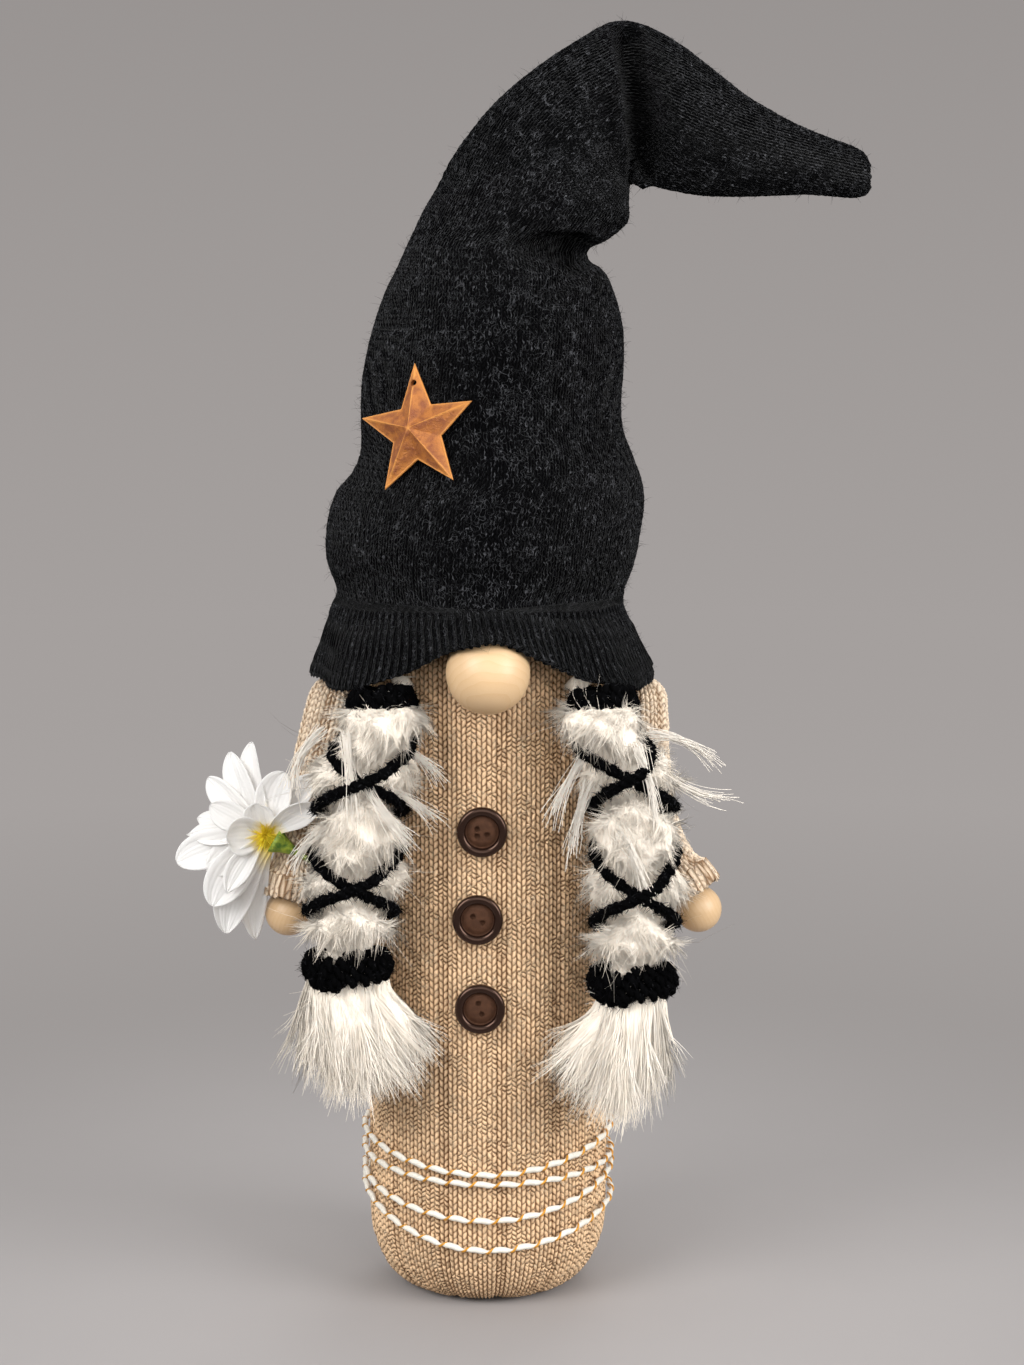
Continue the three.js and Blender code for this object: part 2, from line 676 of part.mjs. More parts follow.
function braidParts(sideName) {
  const lean = braids[sideName];
  const knot = new THREE.Vector3(lean.top, -braidForward, topTieHeight);
  const hairLength = lean.bottomDrop;
  const tieBottom = topTieHeight - hairLength;
  const tieLow = topTieHeight - topTieLength / 2;
  const tieHigh = tieBottom + bottomTieLength / 2;
  const laced = tieLow - tieHigh;
  const swell = 8;
  const across = new THREE.Vector3(1, 0, 0);
  const deep = new THREE.Vector3(0, 1, 0);
  const line = new THREE.CatmullRomCurve3([
    knot,
    new THREE.Vector3(lean.top, -braidForward, tieLow - 1),
    new THREE.Vector3((lean.top + 2 * lean.middle) / 3, -braidForward, tieLow - 2 * swell),
    new THREE.Vector3(lean.middle, -braidForward, topTieHeight - hairLength / 2),
    new THREE.Vector3(lean.bottom, -braidForward, tieBottom),
    new THREE.Vector3(lean.tassel, -braidForward, tieBottom - tasselLength),
  ]);
  const along = (height) => {
    let low = 0;
    let high = 1;
    for (let i = 0; i < 24; i++) {
      const middle = (low + high) / 2;
      if (line.getPoint(middle).z > height) low = middle;
      else high = middle;
    }
    return line.getPoint((low + high) / 2);
  };
  const hairWide = [
    { z: tieLow - clearance, wide: hairKnotRadius, thick: hairKnotRadius },
    { z: tieLow - swell, wide: hairRadius - 1, thick: hairRadius - 1 },
    { z: tieLow - 2 * swell, wide: hairRadius, thick: hairRadius },
    { z: tieLow - 0.36 * laced, wide: hairRadius, thick: hairRadius },
    { z: tieLow - 0.6 * laced, wide: hairRadius, thick: hairRadius },
    { z: tieHigh + swell, wide: hairRadius, thick: hairRadius },
    { z: tieHigh + clearance, wide: hairWaistRadius, thick: hairWaistRadius },
    { z: tieBottom, wide: hairWaistRadius, thick: hairWaistRadius },
    { z: tieBottom - bottomTieLength / 2 - clearance, wide: hairWaistRadius, thick: hairWaistRadius },
    { z: tieBottom - 0.4 * tasselLength, wide: 0.85 * tasselHalfWidth, thick: tasselHalfDepth },
    { z: tieBottom - 0.62 * tasselLength, wide: tasselHalfWidth, thick: tasselHalfDepth },
    { z: tieBottom - 0.86 * tasselLength, wide: 0.7 * tasselHalfWidth, thick: 0.75 * tasselHalfDepth },
    { z: tieBottom - tasselLength, wide: 0.2 * tasselHalfWidth, thick: 0.25 * tasselHalfDepth },
  ];
  const knotRings = [75, 45, 15].map((angle) => {
    const radius = hairKnotRadius * Math.cos(radians(angle));
    const centre = knot.clone().setZ(knot.z + hairKnotRadius * Math.sin(radians(angle)));
    return oval(centre, across, deep, radius, radius, limbSides);
  });
  const rings = hairWide.map(({ z, wide, thick }) => oval(along(z), across, deep, wide, thick, limbSides));
  const knotRing = oval(knot, across, deep, hairKnotRadius, hairKnotRadius, limbSides);
  const hair = skin([...knotRings, knotRing, ...rings]);

  const tie = (centre, inner, outer, length) => {
    const round = Math.min(length / 2, (outer - inner) / 2) * 0.98;
    const outline = [
      ...arc(outer - round, length / 2 - round, round, round, 0, 90, 2),
      ...arc(inner + round, length / 2 - round, round, round, 90, 180, 1),
      ...arc(inner + round, -length / 2 + round, round, round, 180, 270, 1),
      ...arc(outer - round, -length / 2 + round, round, round, 270, 360, 2),
    ];
    outline.push(outline[0]);
    return turned(outline, limbSides).translate([centre.x, centre.y, centre.z]);
  };
  const topTie = tie(knot, hairKnotRadius + 3 * clearance, topTieRadius, topTieLength);
  const bottomKnot = along(tieBottom);
  const bottomTie = tie(bottomKnot, hairWaistRadius + 4 * clearance, bottomTieRadius, bottomTieLength);

  const over = 2 * lacingRadius + 2 * clearance;
  const total = 360 * lacingTurns;
  const windRadius = (hairRadius + 2 * clearance + lacingRadius) / Math.cos(Math.PI / turnSteps);
  const lace = (direction, lift) => {
    const top = tieLow - clearance;
    const bottom = tieHigh + clearance;
    const tail = 2 * lacingRadius;
    const steps = Math.round(turnSteps * lacingTurns);
    const points = Array.from({ length: steps + 1 }, (_, step) => {
      const wound = (total * step) / steps;
      const angle = radians(direction * (wound - 90));
      const height = top - tail + ((bottom + tail - (top - tail)) * step) / steps;
      const nearest = Math.abs(((wound % 180) + 180) % 180 - 90);
      const bump = lift * over * (1 - smooth((nearest - 15) / 32));
      const centre = along(height);
      const radius = windRadius + bump;
      const x = centre.x + radius * Math.sin(angle);
      const y = centre.y - radius * Math.cos(angle);
      return new THREE.Vector3(x, y, height);
    });
    const first = points[0].clone().setZ(top);
    const last = points.at(-1).clone().setZ(bottom);
    return [first, ...points, last];
  };
  const underRoute = lace(1, 0);
  const overRoute = lace(-1, 1);

  const outward = new THREE.Vector3(knot.x, knot.y, 0).normalize();
  const knotOut = Math.hypot(knot.x, knot.y);
  const rootRings = [
    { up: 3, out: knotOut - 3, radius: 6 },
    { up: 0.5 * hairRootRise, out: bodyRadius + 7.5, radius: 6.4 },
    { up: hairRootRise, out: bodyRadius + 5, radius: 4 },
  ].map(({ up, out, radius }) => {
    const centre = outward.clone().multiplyScalar(out);
    return oval(centre.setZ(knot.z + up), across, deep, radius, radius, limbSides);
  });
  const root = skin(rootRings)
    .subtract(ball(knot, hairKnotRadius + 3 * clearance))
    .subtract(topTie.add(tie(knot, hairKnotRadius, topTieRadius + clearance, topTieLength + 2 * clearance)))
    .subtract(bodyRoom);
  return {
    hair: hair.subtract(bodyRoom),
    topTie,
    bottomTie,
    under: windingTube(underRoute, lacingRadius),
    over: windingTube(overRoute, lacingRadius),
    root,
    underRoute,
    overRoute,
  };
}

// Flower: built upright about its own axis, then laid along its stem beside the left arm

function petalLayer({ petals, length, width, open, curl, turn }, step) {
  const bands = 4;
  const hubRadius = 3;
  const hubTop = step + petalThickness;
  const hub = turned([[0, step], [hubRadius, step], [hubRadius, hubTop], [0, hubTop]], 12);
  let layer = hub;
  for (let petal = 0; petal < petals; petal++) {
    const angle = radians(turn + (360 * petal) / petals);
    const outward = new THREE.Vector3(Math.cos(angle), Math.sin(angle), 0);
    const aside = new THREE.Vector3(-Math.sin(angle), Math.cos(angle), 0);
    let out = hubRadius - 0.5;
    let up = step + petalThickness / 2;
    const rings = [];
    for (let band = 0; band <= bands; band++) {
      const t = band / bands;
      const lean = radians(open + curl * t);
      const forward = outward.clone().multiplyScalar(Math.sin(lean)).setZ(Math.cos(lean));
      const normal = aside.clone().cross(forward).normalize();
      const half = 0.5 * width * Math.max(0.14, Math.sin(Math.PI * Math.pow(0.06 + 0.9 * t, 1.25)));
      const centre = outward.clone().multiplyScalar(out).add(new THREE.Vector3(0, 0, up));
      const thick = petalThickness / 2;
      const cup = 0.16 * half;
      rings.push([
        centre.clone().addScaledVector(aside, half).addScaledVector(normal, -cup - thick),
        centre.clone().addScaledVector(normal, -thick),
        centre.clone().addScaledVector(aside, -half).addScaledVector(normal, -cup - thick),
        centre.clone().addScaledVector(aside, -half).addScaledVector(normal, -cup + thick),
        centre.clone().addScaledVector(normal, thick),
        centre.clone().addScaledVector(aside, half).addScaledVector(normal, -cup + thick),
      ]);
      out += (length / bands) * Math.sin(lean);
      up += (length / bands) * Math.cos(lean);
    }
    layer = layer.add(skin(rings));
  }
  return layer;
}

const calyx = turned(
  [
    [0, -calyxLength],
    [stemRadius + clearance + 0.6, -calyxLength],
    [calyxRadius, -1.5],
    [calyxRadius, 0],
    [0, 0],
  ],
  12,
);
const stem = new THREE.CylinderGeometry(stemRadius, stemRadius, stemLength, tubeSides);
stem.rotateX(Math.PI / 2).translate(0, 0, -calyxLength - clearance - stemLength / 2);
const layerStep = petalThickness + 2 * clearance;
const centreLow = clearance + layerStep * Object.keys(petalLayers).length;
const flowerCentre = turned(
  [[0, centreLow], ...arc(0, centreLow, flowerCentreRadius, flowerCentreRadius, 0, 90)],
  12,
);

// Assembly

const group = new THREE.Group();

function material(color, roughness, metalness = 0) {
  return new THREE.MeshStandardMaterial({ color, roughness, metalness });
}

function addPiece(name, shape, look, parent = group) {
  const geometry = shape.isBufferGeometry ? shape : geometryFrom(shape);
  const mesh = new THREE.Mesh(geometry, look.clone());
  mesh.name = name;
  parent.add(mesh);
  return mesh;
}

const looks = {
  bodyKnit: material("#c6a47c", 0.95),
  hatKnit: material("#2b2b2d", 0.95),
  stuffing: material("#ece8df", 1),
  pellets: material("#cfc7b4", 0.9),
  board: material("#a9855a", 0.8),
  thread: material("#b08f66", 0.9),
  wire: material("#8d9094", 0.35, 0.9),
  birch: material("#d9b183", 0.5),
  buttonWood: material("#3a2118", 0.25),
  rust: material("#b4502a", 0.75, 0.3),
  cord: material("#efe6cc", 0.6),
  hair: material("#f3f1ec", 0.95),
  chenille: material("#151516", 1),
  petal: material("#f6f3ea", 0.8),
  leaf: material("#6f8f3c", 0.7),
  pollen: material("#e3b52c", 0.8),
};

addPiece("base_disc", baseDisc, looks.board);
addPiece("weight_bag", weightBag, looks.pellets);
addPiece("body_filling", bodyFilling, looks.stuffing);
addPiece("body_cover", bodyCover, looks.bodyKnit);
addPiece("neck_tie", neckThread, looks.thread);
addPiece("waist_cord", waistCord, looks.cord);
for (const [name, place] of Object.entries(buttonPlaces)) addPiece(name, button(place), looks.buttonWood);
addPiece("hat_crown", hatCrown, looks.hatKnit);
addPiece("hat_filling", hatFilling, looks.stuffing);
addPiece("hat_wire", hatWire, looks.wire);
addPiece("hat_tip", hatTip, looks.hatKnit);
addPiece("hat_tip_filling", hatTipFilling, looks.stuffing);
addPiece("hat_tip_wire", tipWire, looks.wire);
addPiece("nose_ball", noseBall, looks.birch);
addPiece("star", starGeometry, looks.rust);

const arms = {};
const gaps = [];
for (const side of ["left", "right"]) {
  const arm = armParts(side);
  arms[side] = arm;
  addPiece("sleeve_" + side, arm.sleeve, looks.bodyKnit);
  addPiece("arm_filling_" + side, arm.filling, looks.stuffing);
  addPiece("arm_wire_" + side, arm.wire, looks.wire);
  addPiece("hand_ball_" + side, arm.hand, looks.birch);
  const braid = braidParts(side);
  addPiece("hair_root_" + side, braid.root, looks.hair);
  addPiece("braid_hair_" + side, braid.hair, looks.hair);
  addPiece("braid_top_tie_" + side, braid.topTie, looks.chenille);
  addPiece("braid_bottom_tie_" + side, braid.bottomTie, looks.chenille);
  addPiece("lacing_under_" + side, braid.under, looks.chenille);
  addPiece("lacing_over_" + side, braid.over, looks.chenille);
  const { underRoute, overRoute } = braid;
  gaps.push(["lacing_under_" + side, leastGap(underRoute, underRoute, lacingRadius, turnSteps)]);
  gaps.push(["lacing_over_" + side, leastGap(overRoute, overRoute, lacingRadius, turnSteps)]);
  gaps.push(["lacing " + side + " crossing", leastGap(underRoute, overRoute, lacingRadius)]);
}
gaps.push(["waist_cord", leastGap(waistRoute, waistRoute, waistCordRadius, turnSteps)]);
for (const [name, gap] of gaps) console.log(name + " least gap " + gap.toFixed(2) + " mm");

// The stem lies against the front of the left sleeve, and the flower looks up and to the left.
const stemTouch = arms.left.curve.getPoint(0.78);
const stemFront = sleeveRadii[3] + clearance + stemRadius + 0.4;
const flower = new THREE.Group();
const flowerReach = calyxLength + clearance + 5;
const flowerAxis = new THREE.Vector3(-Math.cos(radians(flowerTilt)), 0, Math.sin(radians(flowerTilt)));
flower.position
  .copy(stemTouch)
  .add(new THREE.Vector3(0, -stemFront, 0))
  .addScaledVector(flowerAxis, flowerReach);
flower.quaternion.setFromUnitVectors(new THREE.Vector3(0, 0, 1), flowerAxis);
group.add(flower);
addPiece("flower_stem", stem, looks.leaf, flower);
addPiece("flower_calyx", calyx, looks.leaf, flower);
Object.entries(petalLayers).forEach(([name, layer], i) => {
  addPiece(name, petalLayer(layer, clearance + i * layerStep), looks.petal, flower);
});
addPiece("flower_centre", flowerCentre, looks.pollen, flower);

export default group;
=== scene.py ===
"""Gnome doll: knitted body and hat, wooden balls, laced hair braids, buttons, tin star and silk flower."""

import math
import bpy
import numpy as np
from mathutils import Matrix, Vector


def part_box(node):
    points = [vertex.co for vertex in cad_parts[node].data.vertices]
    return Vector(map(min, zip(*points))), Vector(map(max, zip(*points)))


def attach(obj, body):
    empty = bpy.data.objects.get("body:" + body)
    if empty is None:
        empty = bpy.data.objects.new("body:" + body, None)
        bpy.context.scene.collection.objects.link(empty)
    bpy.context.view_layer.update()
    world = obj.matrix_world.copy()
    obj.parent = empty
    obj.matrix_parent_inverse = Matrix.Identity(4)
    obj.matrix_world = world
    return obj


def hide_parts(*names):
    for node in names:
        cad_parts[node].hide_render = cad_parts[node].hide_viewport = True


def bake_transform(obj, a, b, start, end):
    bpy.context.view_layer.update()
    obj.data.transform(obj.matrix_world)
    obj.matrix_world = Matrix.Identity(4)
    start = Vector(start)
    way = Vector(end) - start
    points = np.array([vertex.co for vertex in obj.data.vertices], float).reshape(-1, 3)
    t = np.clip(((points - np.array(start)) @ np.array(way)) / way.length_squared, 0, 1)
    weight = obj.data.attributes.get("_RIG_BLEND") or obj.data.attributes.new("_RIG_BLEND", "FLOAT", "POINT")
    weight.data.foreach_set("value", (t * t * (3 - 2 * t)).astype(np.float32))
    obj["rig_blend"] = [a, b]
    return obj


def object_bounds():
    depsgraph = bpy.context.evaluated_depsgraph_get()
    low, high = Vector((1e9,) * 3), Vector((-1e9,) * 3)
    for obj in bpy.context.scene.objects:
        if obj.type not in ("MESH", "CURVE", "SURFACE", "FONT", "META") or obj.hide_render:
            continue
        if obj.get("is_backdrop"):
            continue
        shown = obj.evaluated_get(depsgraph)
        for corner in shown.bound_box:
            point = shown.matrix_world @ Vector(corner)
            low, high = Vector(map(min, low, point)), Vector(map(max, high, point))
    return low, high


bl_info = {
    "name": "Gnome Doll",
    "version": (1, 0, 0),
    "blender": (4, 5, 0),
    "location": "View3D > Sidebar > Gnome Doll",
    "description": "Dresses the frame of a standing gnome doll",
    "category": "Add Mesh",
}

import bpy
import numpy as np
from mathutils import Matrix, Vector

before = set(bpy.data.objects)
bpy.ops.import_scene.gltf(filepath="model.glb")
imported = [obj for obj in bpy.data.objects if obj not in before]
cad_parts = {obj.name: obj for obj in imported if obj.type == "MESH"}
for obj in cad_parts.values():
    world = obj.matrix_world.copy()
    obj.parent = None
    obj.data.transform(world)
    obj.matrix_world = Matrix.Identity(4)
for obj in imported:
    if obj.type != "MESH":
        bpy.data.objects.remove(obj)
CAD_BOX = [list(corner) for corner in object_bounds()]
MM = 0.001
SIDES = {"left": -1, "right": 1}

# Sizes that the doll's frame is built from, in millimetres
CLEARANCE = 0.3
BODY_RADIUS = 50
BASE_RADIUS = 30
BASE_RISE = 32
BODY_HEIGHT = 262
SHOULDER_RISE = 26
NECK_RADIUS = 9
NECK_TOP = 300
# Height of each turn of the waist cord at the left, the front and the right
WAIST_TURNS = [(67, 59.2, 67.7), (58.3, 55.2, 55.4), (49.5, 40.1, 50.3), (43.9, 27.8, 38.1)]
WAIST_RADIUS = 52.25
ARM_RADII = [12, 12, 11.2, 10.6, 12.3]
ARM_PATHS = {
    "left": [(0, 0, 0), (-5, -1, -20), (-11, -4, -48), (-15.5, -6, -65), (-18, -7, -77.8)],
    "right": [(0, 0, 0), (1.2, -1, -26), (5, -3, -48), (11.5, -5, -63), (20, -7, -77.3)],
}
SHOULDER = (62.3, 0, 243.3)
TIE_HEIGHT = 248.5
BRAID_FORWARD = 52
# Radius and height of each tie
TOP_TIE = (13.3, 13)
BOTTOM_TIE = (17.4, 15)
LACING_RADIUS = 2.2
LACING_TURNS = 1.85
LACING_WIND = 18.36
HAIR_RADIUS = 15.4
TASSEL_LENGTH = 61
# Place across at the top tie, in the middle, at the bottom tie and at the tassel's end, and the bottom
# tie's drop below the top one
BRAID_LEAN = {"left": (-41, -50.6, -55.2, -53, 103.5), "right": (45.5, 58.5, 57.6, 52.5, 109.5)}
FLOWER_AXIS = Vector((-0.8660254, 0, 0.5))

# How often a wale is set back as a rib, and how much of the cloth has mixed stitches
BODY_STITCHES = {"Rib Every": 6.0, "Purl Share": 0.5}
HAT_STITCHES = {"Rib Every": 1000.0, "Purl Share": 0.0}
SLEEVE_STITCHES = {"Rib Every": 3.0, "Purl Share": 0.0}

# Node trees and materials that are made already, by their makers
MADE = {}


def once(maker):
    """What a function makes, made only the first time."""
    if maker not in MADE:
        MADE[maker] = maker()
    return MADE[maker]


class KnitSettings(bpy.types.PropertyGroup):
    wale: bpy.props.FloatProperty(
        name="Wale width", description="Width of one column of stitches", default=0.0041, unit="LENGTH")
    course: bpy.props.FloatProperty(
        name="Course height", description="Height of one row of stitches", default=0.0029, unit="LENGTH")
    hat_wale: bpy.props.FloatProperty(
        name="Hat wale width", description="Width of one column of the hat's stitches", default=0.0026,
        unit="LENGTH")
    hat_course: bpy.props.FloatProperty(
        name="Hat course height", description="Height of one row of the hat's stitches", default=0.0021,
        unit="LENGTH")
    relief: bpy.props.FloatProperty(
        name="Relief", description="How deep the gaps between stitches are", default=0.0011, unit="LENGTH")
    body_light: bpy.props.FloatVectorProperty(
        name="Body yarn", description="Colour on top of the body's stitches",
        default=(0.96, 0.66, 0.40), subtype="COLOR")
    # Painted shade: the body's knit colour mixes towards this in the gaps between stitches, where the yarn
    # lies low.
    body_gap_shade: bpy.props.FloatVectorProperty(
        name="Body gaps", description="Colour between the body's stitches",
        default=(0.15, 0.062, 0.022), subtype="COLOR")
    hat_light: bpy.props.FloatVectorProperty(
        name="Hat yarn", description="Colour on top of the hat's stitches",
        default=(0.0030, 0.0030, 0.0035), subtype="COLOR")
    # Painted shade: the hat's knit colour mixes towards this in the gaps between stitches, where the yarn
    # lies low.
    hat_gap_shade: bpy.props.FloatVectorProperty(
        name="Hat gaps", description="Colour between the hat's stitches",
        default=(0.0004, 0.0004, 0.0005), subtype="COLOR")


class HairSettings(bpy.types.PropertyGroup):
    colour: bpy.props.FloatVectorProperty(
        name="Hair", description="Colour of the hair", default=(0.98, 0.91, 0.82), subtype="COLOR")
    chenille: bpy.props.FloatVectorProperty(
        name="Chenille", description="Colour of the ties and the lacing",
        default=(0.004, 0.004, 0.0045), subtype="COLOR")
    braid_strands: bpy.props.IntProperty(
        name="Braid strands", description="Strands on the braid above the lower tie", default=8000, min=0)
    tassel_strands: bpy.props.IntProperty(
        name="Tassel strands", description="Strands below the lower tie", default=6000, min=0)
    thickness: bpy.props.FloatProperty(
        name="Strand thickness", description="Radius of one strand at its root",
        default=0.00016, unit="LENGTH")


class TrimSettings(bpy.types.PropertyGroup):
    wood: bpy.props.FloatVectorProperty(
        name="Wood", description="Colour of the nose and hand balls",
        default=(0.72, 0.50, 0.29), subtype="COLOR")
    button: bpy.props.FloatVectorProperty(
        name="Buttons", description="Colour of the buttons",
        default=(0.009, 0.0045, 0.0035), subtype="COLOR")
    rust: bpy.props.FloatVectorProperty(
        name="Star", description="Main colour of the tin star",
        default=(0.45, 0.155, 0.028), subtype="COLOR")
    gold: bpy.props.FloatVectorProperty(
        name="Gold thread", description="Colour of the waist cord's thin thread",
        default=(0.90, 0.42, 0.05), subtype="COLOR")
    petal: bpy.props.FloatVectorProperty(
        name="Petals", description="Colour of the petals", default=(0.90, 0.875, 0.845), subtype="COLOR")
    lay: bpy.props.FloatProperty(
        name="Cord lay", description="Length of one twist of the waist cord", default=0.0098, unit="LENGTH")


class StageSettings(bpy.types.PropertyGroup):
    floor: bpy.props.FloatVectorProperty(
        name="Floor", description="Colour of the floor and backdrop",
        default=(0.345, 0.325, 0.320), subtype="COLOR")
    wall: bpy.props.FloatVectorProperty(
        name="Backdrop", description="Colour of the backdrop as the camera sees it",
        default=(0.354, 0.329, 0.320), subtype="COLOR")
    key_power: bpy.props.FloatProperty(
        name="Key lamp", description="Power of the large lamp", default=18.0, unit="POWER", min=0)
    fill_power: bpy.props.FloatProperty(
        name="Fill lamp", description="Power of the lamp on the other side",
        default=18.0, unit="POWER", min=0)
    sky: bpy.props.FloatProperty(
        name="Surroundings", description="Strength of the even light from all round", default=0.66, min=0)


class GnomeSettings(bpy.types.PropertyGroup):
    knit: bpy.props.PointerProperty(type=KnitSettings)
    hair: bpy.props.PointerProperty(type=HairSettings)
    trim: bpy.props.PointerProperty(type=TrimSettings)
    stage: bpy.props.PointerProperty(type=StageSettings)


# Node helpers

class Wire:
    """A value in a node tree that formulas can be written with."""

    def __init__(self, tree, socket):
        self.tree = tree
        self.socket = socket

    def maths(self, operation, *others):
        values = dict(enumerate((self, *others)))
        node = add_node(self.tree, "ShaderNodeMath", values, operation=operation)
        return Wire(self.tree, node.outputs[0])

    def __add__(self, other):
        return self.maths("ADD", other)

    def __sub__(self, other):
        return self.maths("SUBTRACT", other)

    def __mul__(self, other):
        return self.maths("MULTIPLY", other)

    def __truediv__(self, other):
        return self.maths("DIVIDE", other)

    def part(self):
        return self.maths("FRACT")

    def whole(self):
        return self.maths("FLOOR")

    def sine(self):
        return self.maths("SINE")

    def size(self):
        return self.maths("ABSOLUTE")

    def power(self, exponent):
        return self.maths("POWER", exponent)

    def below(self, limit):
        return self.maths("LESS_THAN", limit)

    def at_least(self, limit):
        return self.maths("MAXIMUM", limit)

    def flipped(self):
        return self * -1 + 1

    def clipped(self):
        return self.at_least(0).maths("MINIMUM", 1)


def feed(tree, socket, value):
    """Sets a socket, or links it where the value comes from a node."""
    if isinstance(value, Wire):
        tree.links.new(value.socket, socket)
    elif isinstance(value, bpy.types.NodeSocket):
        tree.links.new(value, socket)
    elif socket.type == "RGBA" and len(value) == 3:
        socket.default_value = (*value, 1)
    else:
        socket.default_value = value


def add_node(tree, kind, values=None, **choices):
    """Adds a node, sets its choices and feeds its inputs, given by name or by place."""
    node = tree.nodes.new(kind)
    for choice, value in choices.items():
        setattr(node, choice, value)
    for name, value in (values or {}).items():
        feed(tree, node.inputs[name], value)
    return node


def wires(tree, node):
    """The outputs of a node by name."""
    return {socket.name: Wire(tree, socket) for socket in node.outputs}


def vector_maths(tree, operation, *values):
    return add_node(tree, "ShaderNodeVectorMath", dict(enumerate(values)), operation=operation).outputs[0]


def scaled(tree, vector, scale):
    return add_node(tree, "ShaderNodeVectorMath", {0: vector, "Scale": scale}, operation="SCALE").outputs[0]


def added(tree, first, *others):
    for other in others:
        first = vector_maths(tree, "ADD", first, other)
    return first


def centred(tree, vector):
    """A random vector or colour from 0 to 1, moved to lie round nought."""
    return vector_maths(tree, "SUBTRACT", vector, (0.5, 0.5, 0.5))


def joined(tree, x, y, z):
    return add_node(tree, "ShaderNodeCombineXYZ", {0: x, 1: y, 2: z}).outputs[0]


def parted(tree, vector):
    node = add_node(tree, "ShaderNodeSeparateXYZ", {0: vector})
    return [Wire(tree, socket) for socket in node.outputs]


def chance(tree, vector):
    """A random value from 0 to 1, and a random vector, for each vector."""
    node = add_node(tree, "ShaderNodeTexWhiteNoise", {"Vector": vector})
    return Wire(tree, node.outputs["Value"]), node.outputs["Color"]


def cloudy(tree, vector, scale, detail=2.0, roughness=0.5, distortion=0.0):
    node = add_node(tree, "ShaderNodeTexNoise", {
        "Vector": vector, "Scale": scale, "Detail": detail, "Roughness": roughness,
        "Distortion": distortion})
    return Wire(tree, node.outputs[0]), node.outputs["Color"]


def stored(tree, name, form="FLOAT"):
    """What is stored under a name on the geometry."""
    node = add_node(tree, "GeometryNodeInputNamedAttribute", {"Name": name}, data_type=form)
    return Wire(tree, node.outputs[0])


def keep(tree, geometry, name, value, form="FLOAT"):
    """The geometry with a value stored under a name."""
    values = {"Geometry": geometry, "Name": name, "Value": value}
    return add_node(tree, "GeometryNodeStoreNamedAttribute", values, data_type=form).outputs[0]


def moved(tree, geometry, **values):
    """The geometry with a new Position or an Offset."""
    return add_node(tree, "GeometryNodeSetPosition", {"Geometry": geometry, **values}).outputs[0]


def realized(tree, geometry):
    return add_node(tree, "GeometryNodeRealizeInstances", {0: geometry}).outputs[0]


def dressed(tree, geometry, given):
    """The geometry with the material that its group was given."""
    values = {"Geometry": geometry, "Material": given["Material"]}
    return add_node(tree, "GeometryNodeSetMaterial", values).outputs[0]


def new_group(name, kind, inputs, outputs):
    """A node group, its inputs by name, and its last node."""
    tree = bpy.data.node_groups.new(name, kind)
    for direction, sockets in (("INPUT", inputs), ("OUTPUT", outputs)):
        for label, form, default in sockets:
            socket = tree.interface.new_socket(label, in_out=direction, socket_type="NodeSocket" + form)
            if default is not None:
                socket.default_value = default
    return tree, wires(tree, tree.nodes.new("NodeGroupInput")), tree.nodes.new("NodeGroupOutput")


def knit_pattern(tree, stitch, rib_every, purl_share):
    """Height of the yarn from 0 to 1, how far its wale is set back, and a random value for each stitch."""
    wale, course, ribbing = parted(tree, stitch)
    column = wale.whole()
    side = (wale.part() - 0.5).size() * 2
    leg = (side * math.pi).sine().at_least(0).power(0.7)
    other_leg = wale.part().below(0.5)
    slant = course + other_leg * 0.5 - side * 0.5
    plump = (slant.part() * math.pi).sine().at_least(0).power(0.6)
    plain = leg * (plump * 0.85 + 0.15)
    bars = ((course * 1.5 + side * 0.6 + other_leg * 0.35).part() * math.pi).sine().power(0.8)
    bump = bars * (leg * 0.65 + 0.35)
    beside = (wale + 0.5).part() - 0.5
    above = (slant - 0.5).part() - 0.5
    hole = (beside * beside * 40 + above * above * 14).flipped().at_least(0)
    cloud, _ = cloudy(tree, joined(tree, column * 0.5, slant.whole() * 0.16, 0), 1.0, 1.0)
    tone, _ = chance(tree, joined(tree, column, slant.whole(), 0))
    purl = (cloud + tone * 0.12).below(purl_share)
    height = (plain + (bump - plain) * purl) * (hole * -0.95 + 1)
    rib = (wale / rib_every).part() * rib_every
    every_other = (wale / 2).part().below(0.5) * ribbing
    set_back = rib.below(1).maths("MAXIMUM", every_other)
    return height, set_back, tone


# Geometry trees

def stitch_relief_tree():
    """Pushes a smooth cloth in between its stitches, and sets some wales back as ribs."""
    tree, given, made = new_group("Stitch relief", "GeometryNodeTree", [
        ("Geometry", "Geometry", None), ("Relief", "Float", 0.0008), ("Set Back", "Float", 0.0006),
        ("Rib Every", "Float", 9.0), ("Purl Share", "Float", 0.3), ("Slack", "Float", 0.0006),
        ("Slack Size", "Float", 0.03), ("Material", "Material", None),
    ], [("Geometry", "Geometry", None)])
    stitch = stored(tree, "stitch", "FLOAT_VECTOR")
    height, set_back, tone = knit_pattern(tree, stitch, given["Rib Every"], given["Purl Share"])
    normal = tree.nodes.new("GeometryNodeInputNormal").outputs[0]
    position = tree.nodes.new("GeometryNodeInputPosition").outputs[0]
    sag, _ = cloudy(tree, position, given["Slack Size"].power(-1), 1.5)
    depth = (height + tone * 0.25 - 1.25) * given["Relief"]
    depth = depth - set_back * given["Set Back"] - sag * given["Slack"]
    cloth = moved(tree, given["Geometry"], Offset=scaled(tree, normal, depth))
    tree.links.new(dressed(tree, realized(tree, cloth), given), made.inputs[0])
    return tree


